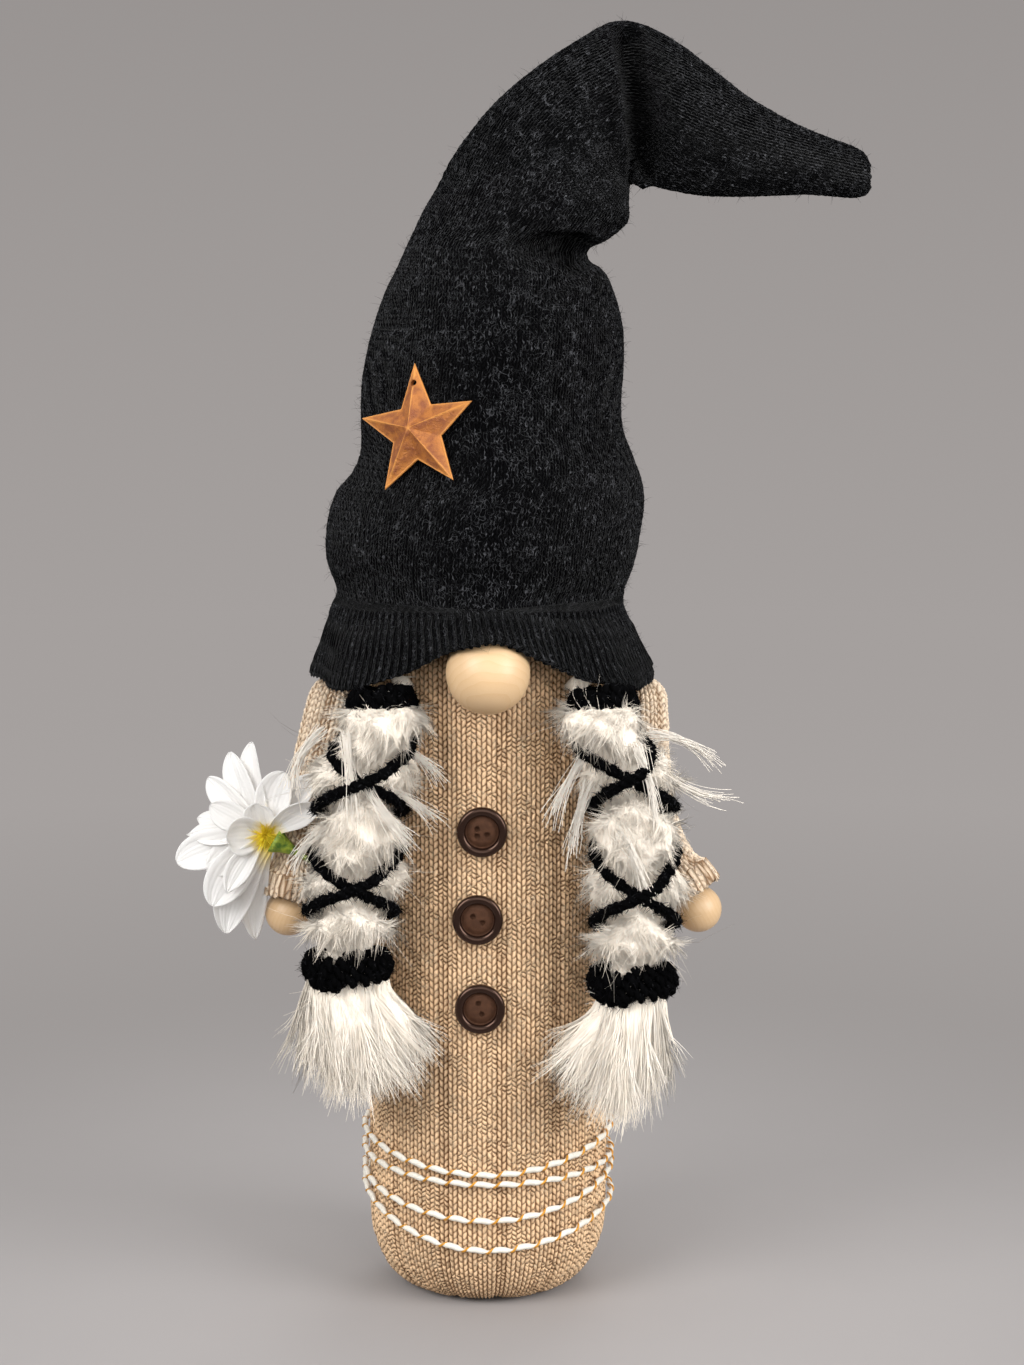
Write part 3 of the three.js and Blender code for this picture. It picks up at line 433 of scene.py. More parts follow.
def locks_tree():
    """Grows tapered strands on a surface, gathered into locks that lift, hang and curl."""
    tree, given, made = new_group("Hair locks", "GeometryNodeTree", [
        ("Geometry", "Geometry", None), ("Density", "Float", 1e6), ("Length", "Float", 0.015),
        ("Length Variation", "Float", 0.4), ("Thickness", "Float", 0.00016), ("Segments", "Int", 4),
        ("Lift", "Float", 0.5), ("Hang", "Float", 0.8), ("Scatter", "Float", 0.6), ("Sag", "Float", 0.3),
        ("Lock Size", "Float", 0.004), ("Lock Pull", "Float", 0.6), ("Frizz", "Float", 0.002),
        ("Swirl", "Float", 0.0), ("Swirl Size", "Float", 0.02), ("Rein", "Float", 0.0),
        ("Frizz Size", "Float", 0.01), ("Clear Radius", "Float", 0.0), ("Keep Base", "Bool", True),
        ("Seed", "Int", 0), ("Material", "Material", None),
    ], [("Geometry", "Geometry", None)])
    coat = stored(tree, "coat")
    scatter = add_node(tree, "GeometryNodeDistributePointsOnFaces", {
        "Mesh": given["Geometry"], "Seed": given["Seed"], "Density": given["Density"] * coat},
        distribute_method="RANDOM")
    normal = scatter.outputs["Normal"]
    position = tree.nodes.new("GeometryNodeInputPosition").outputs[0]
    lock = given["Lock Size"]
    cell = vector_maths(tree, "FLOOR", scaled(tree, position, lock.power(-1)))
    _, luck = chance(tree, cell)
    _, drift = cloudy(tree, position, given["Swirl Size"].power(-1), 0.0)
    middle = scaled(tree, added(tree, cell, luck), lock)
    gather = scaled(tree, vector_maths(tree, "SUBTRACT", middle, position), given["Lock Pull"])
    heading = added(
        tree, scaled(tree, normal, given["Lift"]),
        scaled(tree, stored(tree, "flow", "FLOAT_VECTOR"), given["Hang"]),
        scaled(tree, centred(tree, luck), given["Scatter"]),
        scaled(tree, centred(tree, drift), given["Swirl"]))
    own, own_vector = chance(tree, scaled(tree, position, 9e4))
    shorter = own * given["Length Variation"]
    length = shorter.flipped() * given["Length"] * (coat * 0.75 + 0.25)
    sag = scaled(tree, (0.0, 0.0, -1.0), length * given["Sag"])
    stray = scaled(tree, centred(tree, own_vector), length * 0.22)
    level = vector_maths(tree, "MULTIPLY", normal, (-1.0, -1.0, 0.0))
    rein = scaled(tree, level, length * given["Rein"])
    sway = added(tree, added(tree, gather, sag), added(tree, stray, rein))
    points = keep(tree, scatter.outputs["Points"], "sway", sway, "FLOAT_VECTOR")
    points = keep(tree, points, "surface", normal, "FLOAT_VECTOR")
    points = keep(tree, points, "tone", own)
    x, y, z = parted(tree, position)
    strand = add_node(tree, "GeometryNodeMeshCone", {
        "Vertices": 3, "Side Segments": given["Segments"], "Radius Top": 0.18, "Radius Bottom": 1.0,
        "Depth": 1.0}, fill_type="NONE")
    turn = add_node(tree, "FunctionNodeAlignRotationToVector", {"Vector": heading}, axis="Z")
    thick = given["Thickness"]
    planted = add_node(tree, "GeometryNodeInstanceOnPoints", {
        "Points": points, "Instance": keep(tree, strand.outputs[0], "along", z),
        "Rotation": turn.outputs[0], "Scale": joined(tree, thick, thick, length)})
    along = stored(tree, "along")
    bend = scaled(tree, stored(tree, "sway", "FLOAT_VECTOR"), along * along)
    _, curl = cloudy(tree, position, given["Frizz Size"].power(-1), 1.0)
    wave = scaled(tree, centred(tree, curl), along * given["Frizz"])
    bent = moved(tree, realized(tree, planted.outputs[0]), Offset=added(tree, bend, wave))
    away = (given["Clear Radius"] / (x * x + y * y).power(0.5)).at_least(1)
    clear = moved(tree, bent, Position=joined(tree, x * away, y * away, z))
    base = add_node(tree, "GeometryNodeSwitch", {"Switch": given["Keep Base"], "True": given["Geometry"]},
                    input_type="GEOMETRY")
    both = add_node(tree, "GeometryNodeJoinGeometry", {0: dressed(tree, clear, given)})
    tree.links.new(base.outputs[0], both.inputs[0])
    tree.links.new(both.outputs[0], made.inputs[0])
    return tree


def twist_tree():
    """Lays plies round a path, as in a twisted cord."""
    tree, given, made = new_group("Twisted cord", "GeometryNodeTree", [
        ("Geometry", "Geometry", None), ("Plies", "Int", 2), ("Offset", "Float", 0.0008),
        ("Thickness", "Float", 0.001), ("Lay", "Float", 0.008), ("Pinch", "Float", 0.0),
        ("Haste", "Float", 0.0), ("Step", "Float", 0.0008), ("Sides", "Int", 8),
        ("Material", "Material", None),
    ], [("Geometry", "Geometry", None)])
    path = add_node(tree, "GeometryNodeMeshToCurve", {0: given["Geometry"]})
    even = add_node(tree, "GeometryNodeResampleCurve", {
        "Curve": path.outputs[0], "Length": given["Step"]}, mode="LENGTH")
    copies = add_node(tree, "GeometryNodeDuplicateElements", {
        "Geometry": even.outputs[0], "Amount": given["Plies"]}, domain="SPLINE")
    share = Wire(tree, copies.outputs["Duplicate Index"]) / given["Plies"]
    turns = Wire(tree, tree.nodes.new("GeometryNodeSplineParameter").outputs["Length"]) / given["Lay"]
    haste = (turns * math.tau).sine() * given["Haste"]
    angle = (turns + share) * math.tau + haste
    narrow = ((turns * math.tau).maths("COSINE") * 0.5 + 0.5).power(3)
    kept = keep(tree, copies.outputs[0], "swell", (narrow * given["Pinch"]).flipped())
    normal = tree.nodes.new("GeometryNodeInputNormal").outputs[0]
    tangent = tree.nodes.new("GeometryNodeInputTangent").outputs[0]
    beside = vector_maths(tree, "CROSS_PRODUCT", tangent, normal)
    outward = added(tree, scaled(tree, normal, angle.maths("COSINE")), scaled(tree, beside, angle.sine()))
    ring = add_node(tree, "GeometryNodeCurvePrimitiveCircle", {
        "Resolution": given["Sides"], "Radius": given["Thickness"]})
    skin = add_node(tree, "GeometryNodeCurveToMesh", {
        "Curve": moved(tree, kept, Offset=scaled(tree, outward, given["Offset"])),
        "Profile Curve": ring.outputs[0], "Scale": stored(tree, "swell"), "Fill Caps": True})
    tree.links.new(dressed(tree, realized(tree, skin.outputs[0]), given), made.inputs[0])
    return tree


def grown(piece, maker, material, **values):
    """Runs a geometry tree on a piece, and leaves the result as its plain mesh."""
    tree = once(maker)
    modifier = piece.modifiers.new(tree.name, "NODES")
    modifier.node_group = tree
    values = {"Material": material} | {label.replace("_", " "): value for label, value in values.items()}
    for item in tree.interface.items_tree:
        if item.in_out == "INPUT" and item.name in values:
            modifier[item.identifier] = values[item.name]
    flatten(piece)


def flatten(piece):
    """Turns a piece with modifiers into a plain mesh."""
    graph = bpy.context.evaluated_depsgraph_get()
    graph.update()
    done = bpy.data.meshes.new_from_object(
        piece.evaluated_get(graph), preserve_all_data_layers=True, depsgraph=graph)
    piece.modifiers.clear()
    old = piece.data
    piece.data = done
    done.name = piece.name
    bpy.data.meshes.remove(old)


# Mesh helpers

def new_piece(name, points, faces=(), edges=(), material=None):
    """A mesh object from points in millimetres."""
    mesh = bpy.data.meshes.new(name)
    mesh.from_pydata((np.asarray(points, float) * MM).tolist(), [tuple(edge) for edge in edges], faces)
    mesh.update()
    if faces:
        mesh.shade_smooth()
    if material:
        mesh.materials.append(material)
    piece = bpy.data.objects.new(name, mesh)
    bpy.context.scene.collection.objects.link(piece)
    return piece


def mark(piece, name, values, domain="POINT"):
    """Stores a number or a vector for each point or corner of a piece."""
    values = np.asarray(values, np.float32)
    form, key = ("FLOAT", "value") if values.ndim == 1 else ("FLOAT_VECTOR", "vector")
    attributes = piece.data.attributes
    layer = attributes.get(name) or attributes.new(name, form, domain)
    layer.data.foreach_set(key, values.ravel())


def unit(vectors):
    """The vectors at a length of one."""
    return vectors / np.maximum(np.linalg.norm(vectors, axis=-1, keepdims=True), 1e-6)


def running_length(points):
    """The length along a line up to each of its points."""
    return np.append(0, np.cumsum(np.linalg.norm(np.diff(points, axis=0), axis=1)))


def round_angles(count):
    return np.linspace(0, math.tau, count, endpoint=False)


def level_rings(across, deep, heights):
    """Rings of points, each at its own height."""
    return np.stack([across, deep, np.broadcast_to(heights[:, None], across.shape)], axis=2)


def volume_of(points, quads):
    first, second, third, fourth = (points[quads[:, i]] for i in range(4))
    total = np.einsum("ij,ij->i", first, np.cross(second, third)).sum()
    return total + np.einsum("ij,ij->i", first, np.cross(third, fourth)).sum()


def tube_piece(name, rings, material=None, stitch=None, coat=None):
    """A closed tube over rings of points, capped at both ends. Stitch is three counts for each face corner:
    wale, course and how much the place is ribbed."""
    rows, columns = rings.shape[:2]
    points = rings.reshape(-1, 3)
    row, column = np.mgrid[0:rows - 1, 0:columns]
    row, column = row.ravel(), column.ravel()
    following = (column + 1) % columns
    quads = np.stack([row * columns + column, row * columns + following,
                      (row + 1) * columns + following, (row + 1) * columns + column], axis=1)
    corner_rows = np.stack([row, row, row + 1, row + 1], axis=1)
    corner_columns = np.stack([column, column + 1, column + 1, column], axis=1)
    outward = volume_of(points, quads) > 0
    if not outward:
        quads = quads[:, ::-1]
        corner_rows, corner_columns = corner_rows[:, ::-1], corner_columns[:, ::-1]
    first, last = np.full((2, columns), [[len(points)], [len(points) + 1]])
    side = np.arange(columns)
    beside = (side + 1) % columns
    top = (rows - 1) * columns
    caps = np.concatenate([np.stack([first, beside, side], axis=1),
                           np.stack([last, top + side, top + beside], axis=1)])
    if not outward:
        caps = caps[:, ::-1]
    points = np.vstack([points, rings[0].mean(axis=0), rings[-1].mean(axis=0)])
    piece = new_piece(name, points, quads.tolist() + caps.tolist(), material=material)
    mesh = piece.data
    layer = mesh.uv_layers.new(name="Cloth")
    unwrapped = np.zeros((len(mesh.loops), 2), np.float32)
    count = quads.size
    unwrapped[:count, 0] = corner_columns.ravel() / columns
    unwrapped[:count, 1] = corner_rows.ravel() / (rows - 1)
    layer.data.foreach_set("uv", unwrapped.ravel())
    if stitch is not None:
        counts = np.zeros((len(mesh.loops), 3), np.float32)
        counts[:count] = stitch(corner_columns.ravel() / columns, corner_rows.ravel())
        mark(piece, "stitch", counts, "CORNER")
    set_coat(piece, 1.0 if coat is None else np.append(coat, [0.0, 0.0]))
    flow = unit(np.gradient(rings, axis=0).reshape(-1, 3))
    mark(piece, "flow", np.concatenate([flow, np.zeros((2, 3))]))
    return piece


def set_coat(piece, share):
    """How thickly strands grow at each point, from 0 to 1."""
    mark(piece, "coat", np.ones(len(piece.data.vertices)) * share)


def area_of(piece):
    return sum(face.area for face in piece.data.polygons)


def catmull(points, shares):
    """Points on a centripetal curve through the given points, at shares from 0 to 1."""
    knots = np.asarray(points, float)
    knots = np.vstack([2 * knots[0] - knots[1], knots, 2 * knots[-1] - knots[-2]])
    found = []
    for share in np.clip(shares, 0, 1):
        place = share * (len(knots) - 3)
        start = min(int(place), len(knots) - 4)
        t = place - start
        a, b, c, d = knots[start:start + 4]
        before, here, after = (max(np.sum((q - p) ** 2) ** 0.25, 1e-4) for p, q in ((a, b), (b, c), (c, d)))
        leave = ((b - a) / before - (c - a) / (before + here) + (c - b) / here) * here
        arrive = ((c - b) / here - (d - b) / (here + after) + (d - c) / after) * here
        found.append(b + leave * t + (3 * (c - b) - 2 * leave - arrive) * t ** 2
                     + (2 * (b - c) + leave + arrive) * t ** 3)
    return np.array(found)


def smooth_step(value):
    t = np.clip(value, 0, 1)
    return t * t * (3 - 2 * t)


def turned_piece(name, outline, material, sides, centre, turn):
    """A solid of revolution through points of radius and height, then turned and placed."""
    radius, height = np.array(outline, float).T
    angle = round_angles(sides)
    rings = level_rings(radius[:, None] * np.cos(angle), radius[:, None] * np.sin(angle), height)
    return tube_piece(name, rings @ np.array(turn).T + np.array(centre), material)


def arc(centre, radii, start, stop, steps):
    angle = np.radians(np.linspace(start, stop, steps + 1))
    return [(centre[0] + radii[0] * math.cos(a), centre[1] + radii[1] * math.sin(a)) for a in angle]


def path_piece(name, points):
    return new_piece(name, points, edges=[(i, i + 1) for i in range(len(points) - 1)])


def cut(piece, cutter):
    """Takes one closed piece out of another."""
    modifier = piece.modifiers.new("Hole", "BOOLEAN")
    modifier.object = cutter
    modifier.operation = "DIFFERENCE"
    modifier.solver = "EXACT"
    flatten(piece)
    bpy.data.objects.remove(cutter)


# Shader helpers

def new_material(name, **values):
    """A material, its tree and its shader, with the shader's inputs fed."""
    material = bpy.data.materials.new(name)
    material.use_nodes = True
    tree = material.node_tree
    shader = tree.nodes["Principled BSDF"]
    put(tree, shader, **values)
    material.diffuse_color = (*shader.inputs["Base Color"].default_value[:3], 1)
    return material, tree, shader


def put(tree, node, **values):
    """Feeds inputs by name, with a low line for each space."""
    for label, value in values.items():
        feed(tree, node.inputs[label.replace("_", " ")], value)


def blended(tree, share, first, second):
    return add_node(tree, "ShaderNodeMix", {0: share, 6: first, 7: second}, data_type="RGBA").outputs[2]


def tinted(colour, shares):
    """A colour scaled by one share, or by one for each of its parts."""
    return (np.array(colour) * shares).tolist()


def bump(tree, shader, height, distance):
    node = add_node(tree, "ShaderNodeBump", {"Height": height, "Distance": distance, "Strength": 1.0})
    tree.links.new(node.outputs[0], shader.inputs["Normal"])


def object_place(tree):
    return tree.nodes.new("ShaderNodeTexCoord").outputs["Object"]


def attribute(tree, name, form="Fac"):
    return Wire(tree, add_node(tree, "ShaderNodeAttribute", attribute_name=name).outputs[form])


def use_group(tree, maker, values):
    """The outputs of a group by name, with the group's inputs fed."""
    node = add_node(tree, "ShaderNodeGroup", node_tree=once(maker))
    for label, value in {"Place": object_place(tree), **values}.items():
        feed(tree, node.inputs[label], value)
    return wires(tree, node)


def yarn_group():
    """Knitted yarn: its height for bump, its tone for colour with painted shade between stitches and in
    set-back wales, and stray pale fibres with a painted highlight on the tops of ribbed stitches.
    """
    tree, given, made = new_group("Knitted yarn", "ShaderNodeTree", [
        ("Stitch", "Vector", None), ("Place", "Vector", None), ("Rib Every", "Float", 9.0),
        ("Purl Share", "Float", 0.3), ("Fibre Scale", "Float", 1400.0), ("Squiggle Scale", "Float", 420.0),
        ("Squiggle Width", "Float", 0.03), ("GrooveShade", "Float", 0.1),
    ], [("Height", "Float", None), ("Tone", "Float", None), ("Fleck", "Float", None)])
    place = given["Place"]
    height, set_back, tone = knit_pattern(tree, given["Stitch"], given["Rib Every"], given["Purl Share"])
    wale, course, ribbing = parted(tree, given["Stitch"])
    streak, _ = cloudy(tree, joined(tree, wale * 4, course * 3, 0), 1.0, 2.0)
    fibre, _ = cloudy(tree, place, given["Fibre Scale"], 3.0, 0.6, 0.6)
    cloud, _ = cloudy(tree, place, 45.0, 2.0)
    fleck_and_highlight = None
    for grow in (1.0, 1.7):
        scale = given["Squiggle Scale"] * grow
        curl, _ = cloudy(tree, place, scale, 0.0, 0.5, 0.9)
        line = ((curl - 0.5).size() / given["Squiggle Width"]).flipped().at_least(0)
        gate, _ = cloudy(tree, place, scale * 0.37, 0.0)
        line = line * ((gate - 0.42) * 6).clipped()
        fleck_and_highlight = line if fleck_and_highlight is None else fleck_and_highlight.maths("MAXIMUM", line)
    _, stray = cloudy(tree, place, 480.0, 1.0)
    stray_x, stray_y, _ = parted(tree, stray)
    strayed = wale + (stray_x - 0.5) * 1.2
    aside = (strayed.part() - 0.5).size() * 2
    step = course + (stray_y - 0.5) * 1.2 - aside
    luck, _ = chance(tree, joined(tree, (strayed * 2).whole(), step.whole(), 5.0))
    thread = ((aside - 0.5).size() * -5.5 + 1).at_least(0) * (step.part() * math.pi).sine()
    fleck_and_highlight = (fleck_and_highlight * 0.8).maths("MAXIMUM", thread * ((luck - 0.55) * 2.9).at_least(0))
    # Painted shade: the colour runs darker where the yarn lies low, in the gaps and pinholes between
    # stitches; the rest is each stitch's own tone and streaks.
    shade = height * (tone * 0.5 + 0.95) + (streak - 0.5) * 0.25 + (cloud - 0.5) * 0.1
    # Painted shade in the set-back wales, whose flecks are taken out too; a painted highlight on the tops of
    # ribbed stitches.
    put(tree, made, Height=height + fibre * 0.3 + fleck_and_highlight * 0.35 - set_back * 0.3,
        Tone=shade - set_back * given["GrooveShade"],
        Fleck=(fleck_and_highlight + ribbing * height * streak * 0.18) * (set_back * -0.9 + 1))
    return tree


def mottle_group():
    """Patches of two sizes, for rust, buttons, board, leaves, pollen and filling."""
    tree, given, made = new_group("Mottling", "ShaderNodeTree", [
        ("Place", "Vector", None), ("Patch Scale", "Float", 200.0), ("Grit Scale", "Float", 1500.0),
        ("Patch Edge", "Float", 4.0),
    ], [("Patches", "Float", None), ("Grit", "Float", None)])
    patch, _ = cloudy(tree, given["Place"], given["Patch Scale"], 4.0, 0.6, 0.3)
    grit, _ = cloudy(tree, given["Place"], given["Grit Scale"], 2.0, 0.7)
    put(tree, made, Patches=((patch - 0.5) * given["Patch Edge"] + 0.5).clipped(), Grit=grit)
    return tree


def grain_group():
    """Rings and pores of wood that was turned on a lathe."""
    tree, given, made = new_group("Wood grain", "ShaderNodeTree", [
        ("Place", "Vector", None), ("Ring Width", "Float", 0.0034), ("Wobble", "Float", 1.2),
    ], [("Rings", "Float", None), ("Pores", "Float", None)])
    warp, _ = cloudy(tree, given["Place"], 55.0, 2.0)
    x, y, z = parted(tree, given["Place"])
    lean = y * 0.55 + z * 0.85 + x * x * 9 - x * 0.12
    phase = lean / given["Ring Width"] + warp * given["Wobble"] * 2
    pore, _ = cloudy(tree, joined(tree, x * 350, y * 2600, z * 2600), 1.0, 2.0)
    put(tree, made, Rings=phase.part().power(2.5), Pores=pore)
    return tree


def knit_material(name, light, dark, fleck_and_highlight, fleck_share, values, depth, **looks):
    material, tree, shader = new_material(name, Roughness=0.95, **looks)
    yarn = use_group(tree, yarn_group, {"Stitch": attribute(tree, "stitch", "Vector"), **values})
    # Painted shade: tone and flecks go dark in the hat's creases and fold, by the mark stored there; the
    # fleck colour is also painted on ribbed stitch tops as a highlight.
    lit = attribute(tree, "crease_shade").flipped()
    colour = blended(tree, yarn["Tone"] * lit, dark, light)
    put(tree, shader, Base_Color=blended(tree, yarn["Fleck"] * lit * fleck_share, colour, fleck_and_highlight))
    bump(tree, shader, yarn["Height"], depth)
    return material


def body_knit():
    """Tan yarn with paler fibres."""
    knit = bpy.context.scene.gnome.knit
    values = {"Squiggle Scale": 330.0, **BODY_STITCHES}
    return knit_material("body_knit", knit.body_light, knit.body_gap_shade, (0.93, 0.74, 0.52), 0.55, values,
                         0.0009, Specular_IOR_Level=0.1)


def hat_knit():
    """Charcoal yarn flecked with grey fibres; the same grey is painted on the tops of the brim's ribs as a
    highlight.
    """
    knit = bpy.context.scene.gnome.knit
    values = {"Squiggle Scale": 300.0, "Squiggle Width": 0.021, "GrooveShade": 0.6, **HAT_STITCHES}
    return knit_material("hat_knit", knit.hat_light, knit.hat_gap_shade, (0.18, 0.183, 0.198), 0.6, values,
                         0.0011, Specular_IOR_Level=0.01, Sheen_Weight=0.045, Sheen_Roughness=0.3)


def sleeve_knit():
    """Cream and tan yarn in plain stitch, paler than the body's."""
    knit = bpy.context.scene.gnome.knit
    light = [part ** 0.6 for part in knit.body_light]
    dark = [part ** 0.55 for part in knit.body_gap_shade]
    values = {"Squiggle Scale": 330.0, "GrooveShade": 0.4, **SLEEVE_STITCHES}
    return knit_material("sleeve_knit", light, dark, (0.93, 0.78, 0.66), 0.5, values,
                         0.0009, Specular_IOR_Level=0.1)


def loose_fibre(name, light, dark, softness=0.0, glow=0.0, rare=1.0, shine=0.2):
    """Fine strands, each of its own tone, shaded in part like the surface that they grow on. The glow
    stands for the light that white hair passes on from strand to strand."""
    material, tree, shader = new_material(
        name, Roughness=0.75, Specular_IOR_Level=shine, Emission_Strength=glow)
    streak, _ = cloudy(tree, object_place(tree), 260.0, 2.0)
    share = (attribute(tree, "tone") * 0.5 + streak * 0.5).power(rare)
    colour = blended(tree, share, dark, light)
    put(tree, shader, Base_Color=colour, Emission_Color=colour)
    if softness:
        turned = add_node(tree, "ShaderNodeVectorTransform", {0: attribute(tree, "surface", "Vector")},
                          vector_type="NORMAL", convert_from="OBJECT", convert_to="WORLD")
        own = tree.nodes.new("ShaderNodeNewGeometry").outputs["Normal"]
        both = added(tree, scaled(tree, turned.outputs[0], softness), scaled(tree, own, 1 - softness))
        put(tree, shader, Normal=vector_maths(tree, "NORMALIZE", both))
    return material


def hair_fibre():
    colour = bpy.context.scene.gnome.hair.colour
    return loose_fibre("hair", colour, tinted(colour, (0.86, 0.80, 0.71)), 0.85, 0.12)


def chenille_fibre():
    colour = bpy.context.scene.gnome.hair.chenille
    return loose_fibre("chenille", tinted(colour, 26), tinted(colour, 0.4), rare=4.5, shine=0.01)


def hat_fibre():
    return loose_fibre("hat_fibre", (0.10, 0.101, 0.11), (0.004, 0.004, 0.005), rare=2.0, shine=0.02)


def hair_base():
    """The matted hair under the loose strands. It glows a little: painted light that stands for light passed
    on from strand to strand.
    """
    colour = bpy.context.scene.gnome.hair.colour
    # The emission is painted light, which brightens the white hair.
    material, tree, shader = new_material("hair_base", Roughness=0.95, Emission_Strength=0.1)
    x, y, z = parted(tree, object_place(tree))
    streak, _ = cloudy(tree, joined(tree, x * 900, y * 900, z * 160), 1.0, 2.0)
    mixed = blended(tree, streak, tinted(colour, (0.90, 0.83, 0.74)), colour)
    put(tree, shader, Base_Color=mixed, Emission_Color=mixed)
    bump(tree, shader, streak, 0.0012)
    return material


def turned_wood():
    """Pale turned wood, rubbed smooth."""
    colour = bpy.context.scene.gnome.trim.wood
    material, tree, shader = new_material("turned_wood", Coat_Weight=0.12, Coat_Roughness=0.3)
    grain = use_group(tree, grain_group, {})
    share = grain["Rings"] * 0.4 + grain["Pores"] * 0.4
    put(tree, shader, Base_Color=blended(tree, share, colour, tinted(colour, (0.90, 0.82, 0.70))),
        Roughness=grain["Pores"] * 0.15 + 0.34)
    bump(tree, shader, grain["Pores"], 0.00005)
    return material


def button_wood():
    """Dark stained wood, rough in the dish and polished on the rim."""
    colour = bpy.context.scene.gnome.trim.button
    material, tree, shader = new_material(
        "button_wood", Coat_Roughness=0.2, Specular_Tint=(1.0, 0.6, 0.42), Coat_Tint=(1.0, 0.62, 0.45))
    mottle = use_group(tree, mottle_group, {"Patch Scale": 500.0, "Grit Scale": 2600.0, "Patch Edge": 2.0})
    dish = attribute(tree, "dish")
    wear_and_highlight = blended(tree, dish * (mottle["Patches"] * 0.6 + 0.3), colour, (0.075, 0.031, 0.016))
    put(tree, shader, Base_Color=wear_and_highlight, Roughness=dish * 0.4 + 0.2, Coat_Weight=dish * -0.2 + 0.2)
    bump(tree, shader, dish * mottle["Grit"], 0.0003)
    return material


def rusty_tin():
    """Pressed tin with orange rust, darker in patches, with a painted highlight on its rim and ridges."""
    colour = bpy.context.scene.gnome.trim.rust
    material, tree, shader = new_material("rusty_tin")
    mottle = use_group(tree, mottle_group, {"Patch Scale": 260.0})
    patch, grit = mottle["Patches"], mottle["Grit"]
    base = blended(tree, patch * 0.85, colour, (0.22, 0.058, 0.018))
    # Painted highlight: the rim and ridges, by the edge mark, turn a lighter orange, broken up by grit.
    wear_and_highlight = blended(tree, attribute(tree, "edge") * (grit * 0.5 + 0.5), base, (0.78, 0.33, 0.07))
    put(tree, shader, Base_Color=wear_and_highlight, Roughness=grit * 0.3 + 0.42)
    bump(tree, shader, grit + patch * 0.5, 0.0005)
    return material


def silk_petal():
    """Thin white silk with pressed veins, yellow at its foot."""
    colour = bpy.context.scene.gnome.trim.petal
    material, tree, shader = new_material(
        "silk_petal", Roughness=0.7, Sheen_Weight=0.1, Subsurface_Weight=0.3,
        Subsurface_Radius=(1, 0.95, 0.9), Subsurface_Scale=0.003)
    across, along, _ = parted(tree, attribute(tree, "vein", "Vector"))
    weave, _ = cloudy(tree, joined(tree, across * 60, along * 7, 0), 1.0, 2.0)
    vein = ((across * 26) + weave * 1.6).sine() * 0.5 + 0.5
    foot = (along * -3.4 + 1.15 + weave * 0.2).clipped()
    base = blended(tree, vein * 0.07, colour, tinted(colour, 0.82))
    put(tree, shader, Base_Color=blended(tree, foot, base, (0.86, 0.60, 0.02)))
    bump(tree, shader, vein + weave * 0.5, 0.00007)
    return material


def mottled(name, roughness, patch_scale, dark, light, depth, share="Patches", relief="Grit"):
    """A material in patches of two colours with a fine relief."""
    material, tree, shader = new_material(name, Roughness=roughness)
    mottle = use_group(tree, mottle_group, {"Patch Scale": patch_scale})
    put(tree, shader, Base_Color=blended(tree, mottle[share], dark, light))
    bump(tree, shader, mottle[relief], depth)
    return material


def streaked(name, noise, dark, light, depth, **looks):
    """A material that runs between two colours by a fine noise, which is its relief too."""
    material, tree, shader = new_material(name, **looks)
    streak, _ = cloudy(tree, object_place(tree), *noise)
    put(tree, shader, Base_Color=blended(tree, streak, dark, light))
    bump(tree, shader, streak, depth)
    return material


def white_cord():
    """Flat white paper yarn, ribbed along its length."""
    noise = (900.0, 3.0, 0.6)
    return streaked("white_cord", noise, (0.62, 0.57, 0.47), (0.90, 0.87, 0.80), 0.0003, Roughness=0.7)


def gold_thread():
    colour = bpy.context.scene.gnome.trim.gold
    looks = {"Roughness": 0.4, "Metallic": 0.35}
    return streaked("gold_thread", (1500.0, 2.0), tinted(colour, 0.45), colour, 0.0002, **looks)


def soft_wire():
    looks = {"Roughness": 0.35, "Metallic": 0.9}
    return streaked("soft_wire", (800.0, 2.0), (0.2, 0.2, 0.22), (0.4, 0.41, 0.43), 0.0001, **looks)


def sewing_thread():
    noise = (1200.0, 1.0)
    return streaked("sewing_thread", noise, (0.28, 0.17, 0.08), (0.5, 0.34, 0.18), 0.0003, Roughness=0.8)


def green_leaf():
    dark, light = (0.07, 0.16, 0.018), (0.36, 0.44, 0.04)
    return mottled("green_leaf", 0.5, 350.0, dark, light, 0.0002, relief="Patches")


def yellow_pollen():
    return mottled("yellow_pollen", 0.7, 700.0, (0.80, 0.56, 0.012), (0.97, 0.84, 0.05), 0.0004)


def hidden_filling():
    return mottled("filling", 1.0, 90.0, (0.6, 0.57, 0.5), (0.85, 0.83, 0.78), 0.001)


def pressed_board():
    return mottled("pressed_board", 0.8, 400.0, (0.25, 0.14, 0.06), (0.5, 0.32, 0.17), 0.0004, share="Grit")


def pellet_bag():
    material, tree, shader = new_material("pellet_bag", Roughness=0.6)
    bead = add_node(tree, "ShaderNodeTexVoronoi", {"Vector": object_place(tree), "Scale": 260.0})
    near = Wire(tree, bead.outputs["Distance"])
    # Each pellet is pale in its middle and darker towards its edge: painted shade between the pellets.
    put(tree, shader, Base_Color=blended(tree, near, (0.68, 0.63, 0.52), (0.3, 0.27, 0.2)))
    bump(tree, shader, near * -1, 0.002)
    return material


# Operators, one for each piece or group of like pieces

